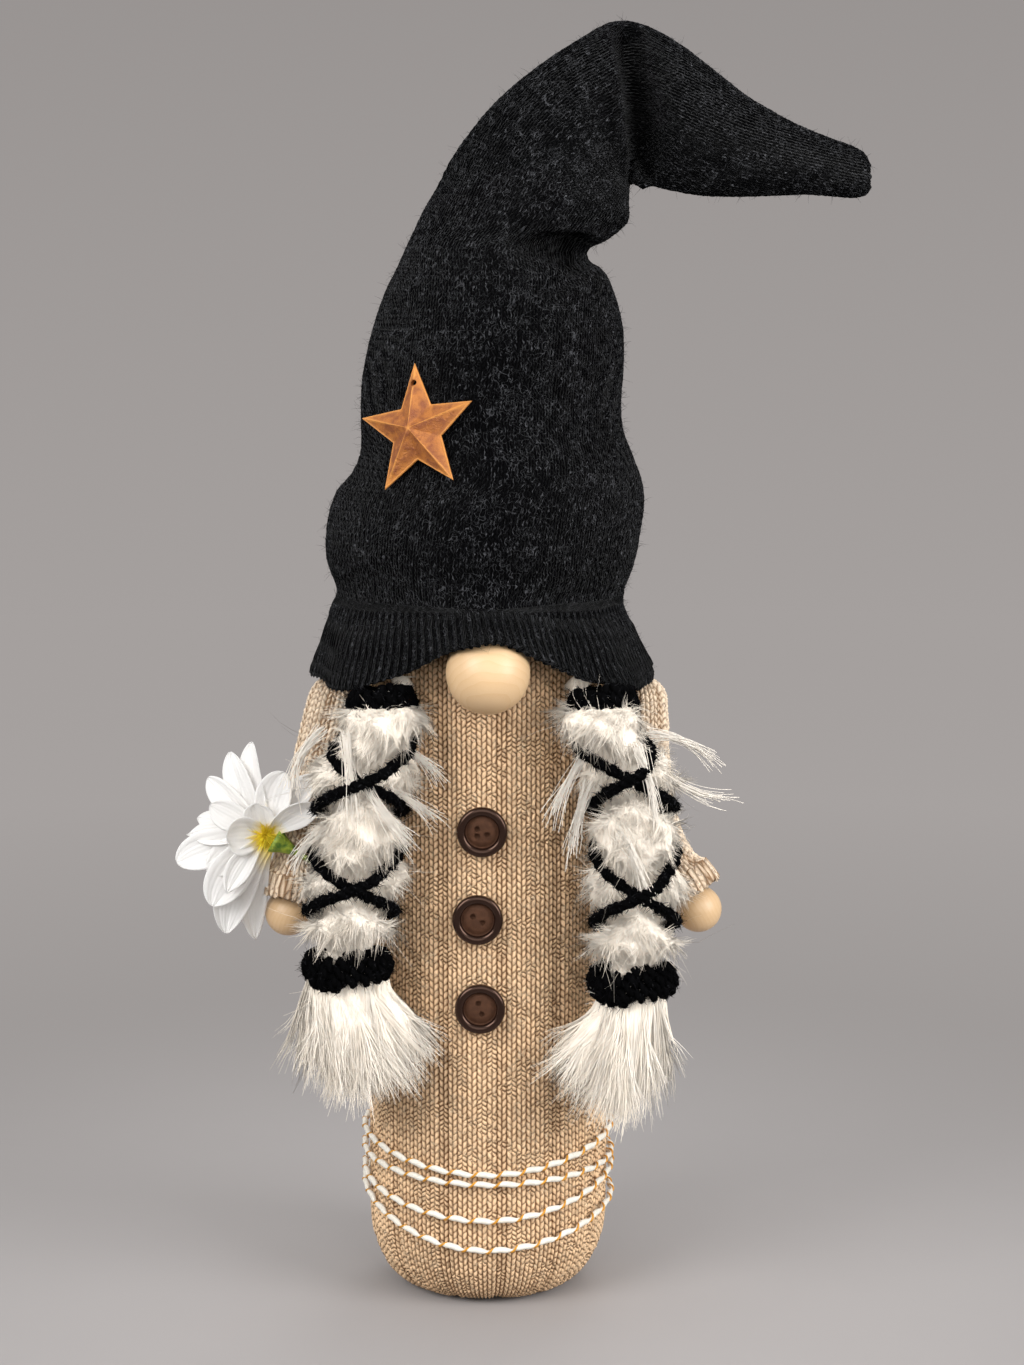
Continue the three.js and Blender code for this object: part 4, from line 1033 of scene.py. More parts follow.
class StageOperator(bpy.types.Operator):
    """Camera, floor, backdrop and lamps"""

    bl_idname = "gnome.stage"
    bl_label = "Stage"

    LENS = 74.74
    EYE = (0.010, -1.150, 0.407)
    PITCH = 82.3
    AIM = Vector((0, 0, 0.25))
    # Name, place and width of each lamp, and whose power it has a share of
    LAMPS = [
        ("key_lamp", (-0.95, -1.05, 1.00), 1.0, "key_power", 1.0),
        ("fill_lamp", (1.15, -0.80, 0.70), 1.0, "fill_power", 1.0),
        ("front_lamp", (0.15, -1.5, 0.8), 1.2, "key_power", 0.35),
        ("back_lamp", (0.3, 1.1, 1.1), 0.8, "fill_power", 0.25),
    ]

    def execute(self, context):
        scene = context.scene
        settings = scene.gnome.stage
        scene.view_settings.view_transform = "Standard"
        lens = bpy.data.cameras.new("camera")
        lens.sensor_width = 36
        lens.lens = self.LENS
        camera = bpy.data.objects.new("camera", lens)
        camera.location = self.EYE
        camera.rotation_euler = (math.radians(self.PITCH), 0, 0)
        scene.collection.objects.link(camera)
        scene.camera = camera

        world = bpy.data.worlds.new("surroundings")
        world.use_nodes = True
        sky = world.node_tree.nodes["Background"]
        put(world.node_tree, sky, Color=(1, 1, 1), Strength=settings.sky)
        scene.world = world

        for name, place, size, source, share in self.LAMPS:
            self.lamp(scene, name, place, size, getattr(settings, source) * share)
        self.backdrop(settings)
        return {"FINISHED"}

    def lamp(self, scene, name, place, size, power):
        light = bpy.data.lights.new(name, "AREA")
        light.shape = "DISK"
        light.size = size
        light.energy = power
        lamp = bpy.data.objects.new(name, light)
        lamp.location = place
        lamp.rotation_euler = (self.AIM - lamp.location).to_track_quat("-Z", "Y").to_euler()
        scene.collection.objects.link(lamp)

    def paper(self, settings):
        """Grey paper: a lit floor that fades with distance into a backdrop seen as an emitting grey, with
        painted shade: darker near the middle of the floor and darker towards the top.
        """
        material, tree, shader = new_material("paper", Roughness=0.95, Specular_IOR_Level=0.1)
        place = object_place(tree)
        x, y, z = parted(tree, place)
        grain, _ = cloudy(tree, place, 30.0, 3.0)
        lit = blended(tree, grain, tinted(settings.floor, 0.98), settings.floor)
        distance = (x * x + y * y).power(0.5)
        reach = (distance * 2.3 - 0.25).clipped()
        far = (reach * reach * -2 + reach * 3) * reach
        rays = wires(tree, tree.nodes.new("ShaderNodeLightPath"))
        seen = rays["Is Camera Ray"] + rays["Is Glossy Ray"] + rays["Is Transmission Ray"]
        wall = settings.wall
        # Painted shade on the backdrop: darker near the floor's middle and darker towards the top.
        shade = blended(tree, (distance * 1.2 - 0.4).clipped(), tinted(wall, 0.84), wall)
        shade = blended(tree, (z * 0.75).clipped(), shade, tinted(wall, 0.78))
        put(tree, shader, Base_Color=blended(tree, far, lit, (0.02, 0.02, 0.02)),
            Emission_Color=shade, Emission_Strength=seen.clipped() * far)
        return material

    def backdrop(self, settings):
        """A wide round floor that curves up into a wall on all sides."""
        material = self.paper(settings)
        flat, bend, tall = 2600, 900, 3200
        outline = [(1, 0), (300, 0), (flat / 2, 0), (flat, 0)]
        outline += arc((flat, bend), (bend, bend), -80, 0, 12)
        outline += [(flat + bend, tall)]
        sides = 96
        angle = round_angles(sides)
        radius, height = np.array(outline, float).T
        points = level_rings(radius[:, None] * np.cos(angle), radius[:, None] * np.sin(angle), height)
        points = points.reshape(-1, 3)
        faces = [tuple(range(sides))]
        for row in range(len(outline) - 1):
            for side in range(sides):
                beside = (side + 1) % sides
                faces.append((row * sides + beside, row * sides + side,
                              (row + 1) * sides + side, (row + 1) * sides + beside))
        floor_faces = 1 + 3 * sides
        floor = new_piece("floor", points, faces[:floor_faces], material=material)
        wall = new_piece("backdrop", points, faces[floor_faces:], material=material)
        wall.visible_diffuse = False
        wall.visible_shadow = False
        floor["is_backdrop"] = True
        wall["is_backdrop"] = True


def body_outline():
    """The body's outline from the middle of its base up to its neck."""
    side = arc((BASE_RADIUS, BASE_RISE), (BODY_RADIUS - BASE_RADIUS, BASE_RISE), -90, 0, 40)
    dome = arc((NECK_RADIUS, BODY_HEIGHT), (BODY_RADIUS - NECK_RADIUS, SHOULDER_RISE), 0, 90, 24)
    return np.array([(2, 0), *side, *dome, (NECK_RADIUS, NECK_TOP)])


class BodyOperator(bpy.types.Operator):
    """The knitted cover of the body, stitch by stitch"""

    bl_idname = "gnome.body"
    bl_label = "Body"

    # How much of the outline is hidden in the hat, where the rings are coarse
    HIDDEN_LENGTH = 62

    def execute(self, context):
        knit = context.scene.gnome.knit
        wale, course = knit.wale / MM, knit.course / MM
        outline = body_outline()
        length = running_length(outline)
        hidden = length[-1] - self.HIDDEN_LENGTH
        run = np.append(np.arange(0, hidden, course / 2), np.linspace(hidden, length[-1], 24)[1:])
        radius = np.interp(run, length, outline[:, 0])
        height = np.interp(run, length, outline[:, 1])
        wales = 2 * round(math.pi * BODY_RADIUS / wale)
        columns = 4 * wales
        angle = math.tau * np.arange(columns) / columns
        rings = level_rings(radius[:, None] * np.sin(angle), radius[:, None] * np.cos(angle), height)
        counts = run / course

        def stitch(turn, row):
            return np.stack([turn * wales, counts[row], np.zeros(len(row))], axis=1)

        material = once(body_knit)
        piece = tube_piece("knitted_body", rings, material, stitch)
        grown(piece, stitch_relief_tree, material, Relief=knit.relief, Set_Back=0.0006, Slack=0.0010,
              Slack_Size=0.035, **BODY_STITCHES)
        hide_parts("body_cover")
        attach(piece, "root")
        return {"FINISHED"}


# Hat sections from the brim up and out to the tip: the outer and the inner edge of each, across and up,
# and half its depth
HAT_SECTIONS = [
    (-63, 290, 56.5, 290, 59.5), (-64.9, 297, 59.6, 297, 62), (-66.6, 305, 61.8, 305, 64),
    (-66.5, 314, 63.4, 314, 64.6), (-65, 323, 64.4, 323, 63.5), (-62.2, 331, 64.2, 331, 61.6),
    (-56.6, 338, 62.8, 338, 58.6), (-53.6, 346, 60.2, 346, 56), (-52.3, 356, 56, 356, 53.4),
    (-52, 367, 55.2, 367, 52), (-50.6, 380, 56.2, 380, 51.4), (-47.9, 392, 56, 392, 50),
    (-45, 402, 54.4, 402, 47.6), (-41.4, 411, 51.8, 410, 44.6), (-37, 420, 47, 418.5, 41),
    (-33, 429, 42.4, 425, 37), (-28.6, 438.5, 50, 430.5, 33.6), (-24, 448, 54.6, 437, 30.6),
    (-16, 463, 56.6, 443, 27), (-7, 475, 57.6, 447, 24), (3.6, 486.5, 58, 449.5, 21.4),
    (14, 495.5, 58.2, 451, 19.6), (26, 504, 58.4, 452, 18.4), (38, 511.3, 58.6, 452.6, 17),
    (48, 516.6, 58.8, 453, 17), (55, 517.6, 59.2, 453.4, 16.6), (61, 516.4, 61, 452.6, 16.4),
    (69, 513.2, 69, 450, 16.2), (79, 507, 78, 447.8, 16), (90, 499, 88, 446.8, 15.2),
    (101, 490.6, 100, 446.6, 14), (113, 483.2, 113, 446.9, 12.6), (126, 476.2, 127, 447.4, 11.2),
    (138, 471.3, 139, 446.9, 10), (147, 468.2, 148, 446.3, 9), (151.6, 465.6, 152.6, 447.6, 7.4),
    (154, 461.6, 154.6, 450.6, 4.6),
]
# Height of the brim's edge by the angle from the front, in degrees
BRIM_EDGE = [
    (-180, 256), (-100, 256), (-77, 254), (-58, 253), (-50, 254), (-36, 258), (-27, 263), (-17, 270.4),
    (-9, 275.4), (0, 277.6), (9, 275.6), (17, 271), (26, 265), (37, 259), (48, 255), (63, 252.5), (77, 254),
    (100, 256), (180, 256),
]
# Half width of the brim by height, left and right
BRIM_FLARE = [
    (256, 72, 69.6), (258, 71.6, 69.2), (264, 69.2, 66.6), (270.7, 66.2, 64.4), (277.3, 63.8, 61.6),
    (283.8, 62.6, 58.8), (290, 63, 56.5),
]
# Where the tip comes out from behind the crown: height and place across
FOLD_LINE = [(440, 58.5), (452, 58), (463, 58.5), (487, 56.5), (508, 52.5), (520, 50)]
# Creases in the hat: start and end on the front, across and up, width and depth
HAT_CREASES = [
    (37, 426, 14, 431, 4.4, 9.5), (36, 418, 16, 402, 4.5, 3), (52, 440, 26, 449, 6, -3.5),
    (44, 414, 30, 410, 5, -2.5), (56, 456, 44, 478, 4, 1.8), (-50, 345, -30, 352, 7, 2),
    (-56, 334, -20, 328, 8, 1.4), (40, 352, 60, 345, 6, 1.8), (78, 452, 110, 462, 5, 1.8),
    (128, 452, 146, 460, 3, 1.2), (-40, 300, -62, 292, 5, 1.6), (46, 300, 30, 286, 5, 2),
    (66, 500, 84, 476, 5, 1.5), (-20, 455, 8, 470, 8, 1.6), (20, 320, 44, 316, 9, 1.2),
]


def push_in(points, normals, creases):
    """Presses straight creases into the front and the back of a shape."""
    moved = np.zeros(len(points))
    for start_x, start_z, end_x, end_z, width, depth in creases:
        start = np.array([start_x, start_z])
        line = np.array([end_x, end_z]) - start
        share = np.clip(((points[:, [0, 2]] - start) @ line) / (line @ line), 0, 1)
        distance = np.hypot(*(points[:, [0, 2]] - start - share[:, None] * line).T)
        fade = np.where(points[:, 1] < 0, 1.0, 0.6) * (1 - 0.5 * share)
        moved += depth * fade * np.exp(-(distance / width) ** 2)
    return points - normals * moved[:, None]


def smooth_table(values, wanted, width):
    """Reads a table of angles at the wanted angles, rounded off over a width."""
    angles, heights = np.array(values).T
    offsets = np.linspace(-1.5, 1.5, 9) * width
    weights = np.exp(-(offsets / width) ** 2)
    read = (np.interp(wanted + offset, angles, heights) for offset in offsets)
    return sum(weight * value for weight, value in zip(weights, read)) / weights.sum()


class HatOperator(bpy.types.Operator):
    """The knitted hat from its ribbed brim over the fold to its tip, one cloth that bends at the fold"""

    bl_idname = "gnome.hat"
    bl_label = "Hat"

    RIBS = 120
    COLUMNS = 4 * RIBS
    WALL = 3.0
    NOSE_BULGE = 18.5
    FOLD = ((0.046, 0, 0.475), (0.070, 0, 0.479))
    FOLD_DEPTH = 12.5
    LIP_HEIGHT = 3.0
    # The hem, turned in: how far up each ring lies, its share of the wall and its drop
    HEM = [(24, 1, 0), (18, 1, 0), (12, 1, 0), (7, 1, 0), (3, 1, 0), (1, 0.85, 0.3), (0, 0.4, 0.9)]
    # Keeps the counts of wales above nought, with the front's middle a quarter into a wale
    FIRST_WALE = 400.25

    def execute(self, context):
        knit = context.scene.gnome.knit
        wale, course = knit.hat_wale / MM, knit.hat_course / MM
        turn = np.arange(self.COLUMNS) / self.COLUMNS
        angle = math.tau * (turn - 0.5)
        brim, brim_run = self.brim_rings(angle)
        crown, crown_run = self.crown_rings(angle)
        outer = np.concatenate([brim[:-1], crown])
        run = np.concatenate([brim_run[:-1], brim_run[-1] + crown_run])
        outer, crease_shade = self.creased(outer)
        inner = self.inner_rings(outer, run)
        crease_shade = np.concatenate([np.zeros(inner.shape[:2]), crease_shade])
        rings = np.concatenate([inner, outer])
        run = np.concatenate([-np.arange(len(inner), 0, -1) * 1.5, run])
        closed = np.concatenate([rings, rings[:, :1]], axis=1)
        arc_length = np.cumsum(np.linalg.norm(np.diff(closed, axis=1), axis=2), axis=1)
        arc_length = np.concatenate([np.zeros((len(rings), 1)), arc_length], axis=1)
        arc_length -= arc_length[:, [self.COLUMNS // 2]]
        ribbed = smooth_step((32 - run) / 3)

        def stitch(share, row):
            column = np.rint(share * self.COLUMNS).astype(int)
            ribs = ribbed[row]
            wales = arc_length[row, column] / wale * (1 - ribs) + (share - 0.5) * 2 * self.RIBS * ribs
            return np.stack([wales + self.FIRST_WALE, run[row] / course, ribs], axis=1)

        material = once(hat_knit)
        coat = np.ones(rings.shape[:2])
        coat[:6] = 0
        piece = tube_piece("knitted_hat", rings, material, stitch, coat.ravel())
        # The painted shade of the creases and the fold, kept at nought on the hem's inner rings, for the
        # knit's colour.
        shade = np.zeros(len(piece.data.vertices))
        shade[:crease_shade.size] = crease_shade.ravel()
        mark(piece, "crease_shade", shade)
        grown(piece, stitch_relief_tree, material, Relief=knit.relief * 0.6, Set_Back=0.0012, Slack=0.0016,
              Slack_Size=0.03, **HAT_STITCHES)
        grown(piece, locks_tree, once(hat_fibre), Density=9500 / area_of(piece), Length=0.0052,
              Length_Variation=0.7, Thickness=0.00007, Segments=2, Lift=0.25, Hang=0.1, Scatter=2.4,
              Sag=0.1, Lock_Size=0.0011, Lock_Pull=0.0, Frizz=0.0035, Frizz_Size=0.003)
        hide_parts("hat_crown", "hat_tip")
        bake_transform(piece, "root", "hat_tip", *self.FOLD)
        self.stuffing(outer[len(brim) - 1:])
        return {"FINISHED"}

    def stuffing(self, rings):
        """The filling, in the shape of the inside of the hat."""
        middle = rings.mean(axis=1, keepdims=True)
        spokes = rings - middle
        reach = np.linalg.norm(spokes, axis=2, keepdims=True)
        inside = middle + spokes * np.clip(1 - 4.5 * self.WALL / reach, 0.2, 1)
        inside[:, :, 1] *= 0.6
        piece = tube_piece("hat_stuffing", inside[2:-3:5, ::10], once(hidden_filling))
        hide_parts("hat_filling", "hat_tip_filling")
        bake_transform(piece, "root", "hat_tip", *self.FOLD)

    def brim_rings(self, angle):
        """Rings from the brim's edge up to the first crown section, bulged over the nose."""
        degrees = np.degrees(angle)
        edge = smooth_table(BRIM_EDGE, degrees, 4.0)
        edge += 0.5 * np.sin(angle * 9 + 0.5) + 0.3 * np.sin(angle * 17)
        top = HAT_SECTIONS[0]
        heights, left, right = np.array(BRIM_FLARE).T
        steps = 34
        rings = []
        for share in np.linspace(0, 1, steps):
            height = edge + (top[1] - edge) * share
            wide_left = np.interp(height, heights, left)
            wide_right = np.interp(height, heights, right)
            even = (wide_left + wide_right) / 2
            to_side = smooth_step(np.abs(degrees) / 40) * smooth_step((180 - np.abs(degrees)) / 40)
            across = even + (np.where(angle < 0, wide_left, wide_right) - even) * to_side
            middle = (top[0] + top[2]) / 2 * share
            near_top = smooth_step((share - 0.75) / 0.25)
            across = across + ((top[2] - top[0]) / 2 - across) * near_top
            deep = even + (top[4] - even) * near_top
            ruffle = (1.3 * np.sin(angle * 7 + 1.0) + 1.0 * np.sin(angle * 13 + 2.2)) * (1 - share) ** 1.5
            push = self.NOSE_BULGE * np.exp(-(degrees / 21) ** 2) * (1 - smooth_step((height - 272) / 30))
            rings.append(np.stack([middle + (across + ruffle) * np.sin(angle),
                                   -(deep + ruffle + push) * np.cos(angle), height], axis=1))
        return np.array(rings), np.linspace(0, 33, steps)

    def crown_rings(self, angle):
        """Rings through the sections, about one course apart."""
        sections = np.array(HAT_SECTIONS)
        dense = catmull(sections, np.linspace(0, 1, 900))
        middle = (dense[:, 0:2] + dense[:, 2:4]) / 2
        length = running_length(middle)
        run = np.linspace(0, length[-1], int(length[-1] / 1.4))
        even = np.stack([np.interp(run, length, dense[:, column]) for column in range(5)], axis=1)
        rings = []
        for outer_x, outer_z, inner_x, inner_z, deep in even:
            half_x, half_z = (inner_x - outer_x) / 2, (inner_z - outer_z) / 2
            rings.append(np.stack([(outer_x + inner_x) / 2 + half_x * np.sin(angle), -deep * np.cos(angle),
                                   (outer_z + inner_z) / 2 + half_z * np.sin(angle)], axis=1))
        rings = np.array(rings)
        bulge = self.NOSE_BULGE * np.exp(-(np.degrees(angle) / 21) ** 2)
        fade = 1 - smooth_step((rings[:, :, 2] - 272) / 30)
        rings[:, :, 1] -= bulge * fade * np.cos(angle)
        return rings, run

    def creased(self, rings):
        """Presses the hat's creases in, and the fold where the tip comes out from behind the crown.
        Also gives the painted shade of each point, from 0 to 1: darkest in the fold and where creases are
        pressed in."""
        shape = rings.shape
        down = np.gradient(rings, axis=0)
        around = np.roll(rings, -1, axis=1) - np.roll(rings, 1, axis=1)
        normals = unit(np.cross(around, down))
        outward = rings - rings.mean(axis=1, keepdims=True)
        normals *= np.sign(np.sum(normals * outward, axis=2, keepdims=True))
        rings, normals = rings.reshape(-1, 3), normals.reshape(-1, 3)
        points = push_in(rings, normals, HAT_CREASES)
        sunk = np.sum((rings - points) * normals, axis=1)
        heights, across = np.array(FOLD_LINE).T
        beyond = points[:, 0] - np.interp(points[:, 2], heights, across)
        dip = np.where(beyond < 0, np.exp(-(beyond / 1.3) ** 2), np.exp(-(beyond / 11.0) ** 2))
        ends = smooth_step((518 - points[:, 2]) / 10) * smooth_step((points[:, 2] - 446) / 6)
        facing = np.clip(np.abs(normals[:, 1]), 0, 1)
        points[:, 1] -= np.sign(points[:, 1]) * self.FOLD_DEPTH * dip * ends * facing
        lip = np.exp(-((beyond + 4) / 4.5) ** 2) * ends * facing
        points[:, 1] += np.sign(points[:, 1]) * self.LIP_HEIGHT * lip
        # Painted shade: the deeper a point lies in a crease or in the fold, the darker its knit is coloured.
        crease_shade = np.maximum(np.clip(sunk / 7, 0, 0.9), 0.98 * dip ** 0.7 * ends * facing)
        return points.reshape(shape), crease_shade.reshape(shape[:2])

    def inner_rings(self, outer, run):
        """The brim's turned in edge and the inside of the hat above it."""
        rings = []
        for up, share, drop in self.HEM:
            ring = outer[int(np.searchsorted(run, up))]
            flat = (ring - ring.mean(axis=0)) * (1, 1, 0)
            rings.append(ring - unit(flat) * self.WALL * share - (0, 0, drop))
        return np.array(rings)


class SleeveOperator(bpy.types.Operator):
    """Two knitted sleeves with thick cuffs"""

    bl_idname = "gnome.sleeves"
    bl_label = "Sleeves"

    EASE = 0.6
    CUFF_SWELL = 2.4
    RIM_OUT = 2.2
    # The cuff's rim rolled in: how far on and how far in each ring lies
    RIM = [(0.5, 0.6), (0.9, 1.6), (0.4, 2.6), (-1.5, 2.9), (-5, 2.9), (-9, 3.0)]

    def execute(self, context):
        for side, sign in SIDES.items():
            self.sleeve(context.scene.gnome.knit, side, sign)
        return {"FINISHED"}

    def sleeve(self, knit, side, sign):
        wale, course = knit.wale / MM, knit.course / MM
        path = np.array(ARM_PATHS[side]) + np.array(SHOULDER) * (sign, 1, 1)
        share = np.linspace(0, 1, 110)
        centres = catmull(path, share)
        radii = catmull([(i, radius, 0) for i, radius in enumerate(ARM_RADII)], share)[:, 1]
        tangents = unit(np.gradient(centres, axis=0))
        cap = np.radians(np.linspace(84, 6, 16))
        start = ARM_RADII[0]
        centres = np.concatenate([centres[0] - tangents[0] * start * np.sin(cap)[:, None], centres])
        radii = np.concatenate([start * np.cos(cap), radii])
        tangents = np.concatenate([np.repeat(tangents[:1], len(cap), axis=0), tangents])
        run = running_length(centres)
        total = run[-1]
        cuff = smooth_step((run - (total - 13)) / 6)
        radii = radii + self.EASE + self.CUFF_SWELL * cuff
        heading = tangents[-1]
        rim = centres[-1] + heading * self.RIM_OUT
        ahead, inset = np.array(self.RIM).T
        centres = np.concatenate([centres, rim + heading * ahead[:, None]])
        radii = np.concatenate([radii, radii[-1] - inset])
        tangents = np.concatenate([tangents, np.repeat([heading], len(self.RIM), axis=0)])
        run = np.concatenate([run, total + 1.2 * np.arange(1, len(self.RIM) + 1)])
        wales = 2 * round(math.pi * start / wale)
        columns = 4 * wales
        angle = math.tau * np.arange(columns) / columns + math.pi / 2
        across = unit(np.cross([0, 1, 0], tangents))
        upward = np.cross(tangents, across)
        rings = centres[:, None] + radii[:, None, None] * (
            across[:, None] * np.cos(angle)[None, :, None] + upward[:, None] * np.sin(angle)[None, :, None])
        ribbed = smooth_step((run - (total - 9)) / 2) * 0.15

        def stitch(turn, row):
            return np.stack([turn * wales, run[row] / course, ribbed[row]], axis=1)

        material = once(sleeve_knit)
        piece = tube_piece("knitted_sleeve_" + side, rings, material, stitch)
        grown(piece, stitch_relief_tree, material, Relief=knit.relief, Set_Back=0.0008, Slack=0.0012,
              Slack_Size=0.014, **SLEEVE_STITCHES)
        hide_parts("sleeve_" + side)
        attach(piece, "arm_" + side)


class WoodenBallOperator(bpy.types.Operator):
    """The nose and the two hands: drilled balls of turned wood"""

    bl_idname = "gnome.wooden_balls"
    bl_label = "Wooden balls"

    def execute(self, context):
        low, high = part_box("nose_ball")
        radius = (high[2] - low[2]) / 2
        centre = Vector(((low[0] + high[0]) / 2, low[1] + radius, (low[2] + high[2]) / 2))
        self.ball("nose_wood", "nose_ball", "root", centre, radius, (-0.15, -1, 0.25))
        for side, sign in SIDES.items():
            low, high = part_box("hand_ball_" + side)
            centre = (Vector(low) + Vector(high)) / 2
            radius = (high[1] - low[1]) / 2
            heading = (sign * 0.4, 0.1, 1)
            self.ball("hand_wood_" + side, "hand_ball_" + side, "arm_" + side, centre, radius, heading)
        return {"FINISHED"}

    def ball(self, name, node, body, centre, radius, heading):
        """A ball with the dimple of its drilled hole, whose bore runs along the heading."""
        bore = 0.09
        radius = radius / MM * 1.01
        lean = Vector(heading).to_track_quat("Z", "X").to_matrix()
        outline = [(radius * 0.02, radius * 0.86), (radius * bore * 0.9, radius * 0.9)]
        start = math.degrees(math.acos(bore * 1.25))
        outline += arc((0, 0), (radius, radius), start, -89, 40)
        turn = Matrix.Rotation(math.pi, 3, "X") @ lean
        piece = turned_piece(name, outline, once(turned_wood), 72, centre / MM, turn)
        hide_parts(node)
        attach(piece, body)


class ButtonOperator(bpy.types.Operator):
    """Three buttons with a raised rim, a rough dish and thread holes"""

    bl_idname = "gnome.buttons"
    bl_label = "Buttons"

    RADIUS = 10.0
    RIM = 3.4
    THICKNESS = 3.6
    DISH = 2.3
    # How far back the button's back lies
    BACK = -50.3
    # Place across and up, turn in degrees, and how many of the holes are seen
    PLACES = {"button_top": (-1.8, 199.1, -30, 3), "button_middle": (-3.6, 163.8, -33, 2),
              "button_bottom": (-2.7, 127.7, -72, 2)}
    HOLES = [(-2.3, 0.0), (2.3, 0.0), (-0.9, -2.4)]
    HOLE_RADIUS = 1.1

    def execute(self, context):
        for node, (across, up, turn, holes) in self.PLACES.items():
            self.button(node, across, up, turn, holes)
        return {"FINISHED"}

    def button(self, node, across, up, turn, holes):
        middle = self.RADIUS - self.RIM / 2
        rise = self.THICKNESS - self.DISH
        outline = [(0.4, 0), (5, 0), (self.RADIUS - 1.5, 0), (self.RADIUS - 0.7, 0.3)]
        outline += [(self.RADIUS, self.DISH * 0.55), (self.RADIUS, self.DISH * 0.8)]
        outline += arc((middle, self.DISH), (self.RIM / 2, rise), 0, 180, 16)
        outline += [(reach, self.DISH - down) for reach, down in (
            (middle - self.RIM / 2 - 0.3, 0.9), (6, 1), (5.6, 0.55), (3.5, 0.35), (1.5, 0.25), (0.3, 0.2))]
        place = Matrix.Rotation(math.radians(90), 3, "X") @ Matrix.Rotation(math.radians(turn), 3, "Z")
        centre = (across, self.BACK, up)
        piece = turned_piece(node + "_wood", outline, once(button_wood), 64, centre, place)
        drill = [(0.01, 0.7), (self.HOLE_RADIUS, 0.7), (self.HOLE_RADIUS, 5), (0.01, 5)]
        for x, y in self.HOLES[:holes]:
            spot = np.array(centre) + np.array(place @ Vector((x, y, 0)))
            cut(piece, turned_piece("hole", drill, None, 20, spot, place))
        points = np.array([vertex.co[:] for vertex in piece.data.vertices]) / MM - np.array(centre)
        reach = np.hypot(points[:, 0], points[:, 2])
        forward = -points[:, 1]
        mark(piece, "dish", (reach < self.RADIUS - self.RIM - 0.1) & (forward > 0.6))
        piece.data.shade_smooth()
        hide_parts(node)
        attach(piece, "root")


class StarOperator(bpy.types.Operator):
    """The pressed tin star with a ridge down each point and a hole in the top one"""

    bl_idname = "gnome.star"
    bl_label = "Star"

    RADIUS = 26.5
    NOTCH = 11.5
    RIDGE = 7.0
    SHEET = 0.9
    AZIMUTH = math.radians(-31)
    TILT = math.radians(11)
    TURN = math.radians(-9)
    OUT = 55.1
    SEAT = (1.9, 356.5)
    STEPS = 6

    def execute(self, context):
        angle = math.pi / 2 + np.arange(10) * math.pi / 5
        reach = np.where(np.arange(10) % 2, self.NOTCH, self.RADIUS)
        outline = np.stack([reach * np.cos(angle), reach * np.sin(angle)], axis=1)
        # Each layer: its size, its rise, and how much painted highlight it takes; the rim and the ridge down
        # each point are painted lighter as highlights.
        layers = [(0.97, 0.0, 0.0), (1.0, 0.35, 0.0), (1.0, self.SHEET, 1.0),
                  (0.985, self.SHEET + 0.25, 1.0), (0.93, self.SHEET + 0.3, 0.3)]
        layers += [(share, self.SHEET + 0.3 + self.RIDGE * (0.93 - share), 0.0)
                   for share in (0.8, 0.6, 0.4, 0.2, 0.08)]
        rings, glow = [], []
        for scale, rise, bright in layers:
            ring = []
            for corner in range(10):
                for step in range(self.STEPS):
                    t = step / self.STEPS
                    point = outline[corner] * (1 - t) + outline[(corner + 1) % 10] * t
                    on_ridge = corner % 2 == 0 and step == 0 and scale < 0.99
                    ring.append((*(point * scale), rise))
                    glow.append(1.0 if on_ridge else bright)
            rings.append(ring)
        place = (Matrix.Translation((self.SEAT[0] + self.OUT * math.sin(self.AZIMUTH),
                                     -self.OUT * math.cos(self.AZIMUTH), self.SEAT[1]))
                 @ Matrix.Rotation(self.AZIMUTH, 4, "Z") @ Matrix.Rotation(math.pi / 2 - self.TILT, 4, "X")
                 @ Matrix.Rotation(-self.TURN, 4, "Z"))
        turn = place.to_3x3()
        rings = np.array(rings) @ np.array(turn).T + np.array(place.translation)
        piece = tube_piece("tin_star", rings, once(rusty_tin))
        # The painted highlight's share at each point, for the tin's colour.
        mark(piece, "edge", [*glow, 0.0, 1.0])
        spot = np.array(place @ Vector((0, 18.5, 0)))
        cut(piece, turned_piece("hole", [(0.01, -2), (1.3, -2), (1.3, 9), (0.01, 9)], None, 24, spot, turn))
        piece.data.shade_flat()
        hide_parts("star")
        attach(piece, "root")
        return {"FINISHED"}


def waist_route(steps_per_turn=96):
    """The cord's path round the body, dipping at the front on each turn."""
    marks = []
    for index, (left, front, right) in enumerate(WAIST_TURNS):
        marks.append((WAIST_TURNS[index - 1][2] + left) / 2 if index else left)
        marks += [left, front, right]
    marks.append(WAIST_TURNS[-1][2])
    steps = steps_per_turn * len(WAIST_TURNS)
    knots = [(i, 0, height) for i, height in enumerate(marks)]
    heights = catmull(knots, np.linspace(0, 1, steps + 1))[:, 2]
    angle = math.pi + math.tau * np.arange(steps + 1) / steps_per_turn
    return np.stack([WAIST_RADIUS * np.sin(angle), -WAIST_RADIUS * np.cos(angle), heights], axis=1)


class WaistCordOperator(bpy.types.Operator):
    """The white and gold cord wound round the bottom of the body"""

    bl_idname = "gnome.waist_cord"
    bl_label = "Waist cord"

    # How far the cord is drawn into the cloth
    SNUG = 0.985

    def execute(self, context):
        lay = context.scene.gnome.trim.lay
        route = waist_route()
        route[:, :2] *= self.SNUG
        white = path_piece("waist_cord_white", route)
        grown(white, twist_tree, once(white_cord), Plies=1, Offset=0.0003, Thickness=0.00125, Lay=-lay,
              Pinch=0.62, Step=0.0006, Sides=8)
        gold = path_piece("waist_cord_gold", route)
        grown(gold, twist_tree, once(gold_thread), Plies=1, Offset=0.00098, Thickness=0.00048, Lay=-lay,
              Haste=0.8, Step=0.0004, Sides=6)
        for piece in (white, gold):
            piece.data.shade_smooth()
            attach(piece, "root")
        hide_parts("waist_cord")
        return {"FINISHED"}


# Braids

# How wide each braid is to its depth
NARROW = {"left": 0.94, "right": 0.88}


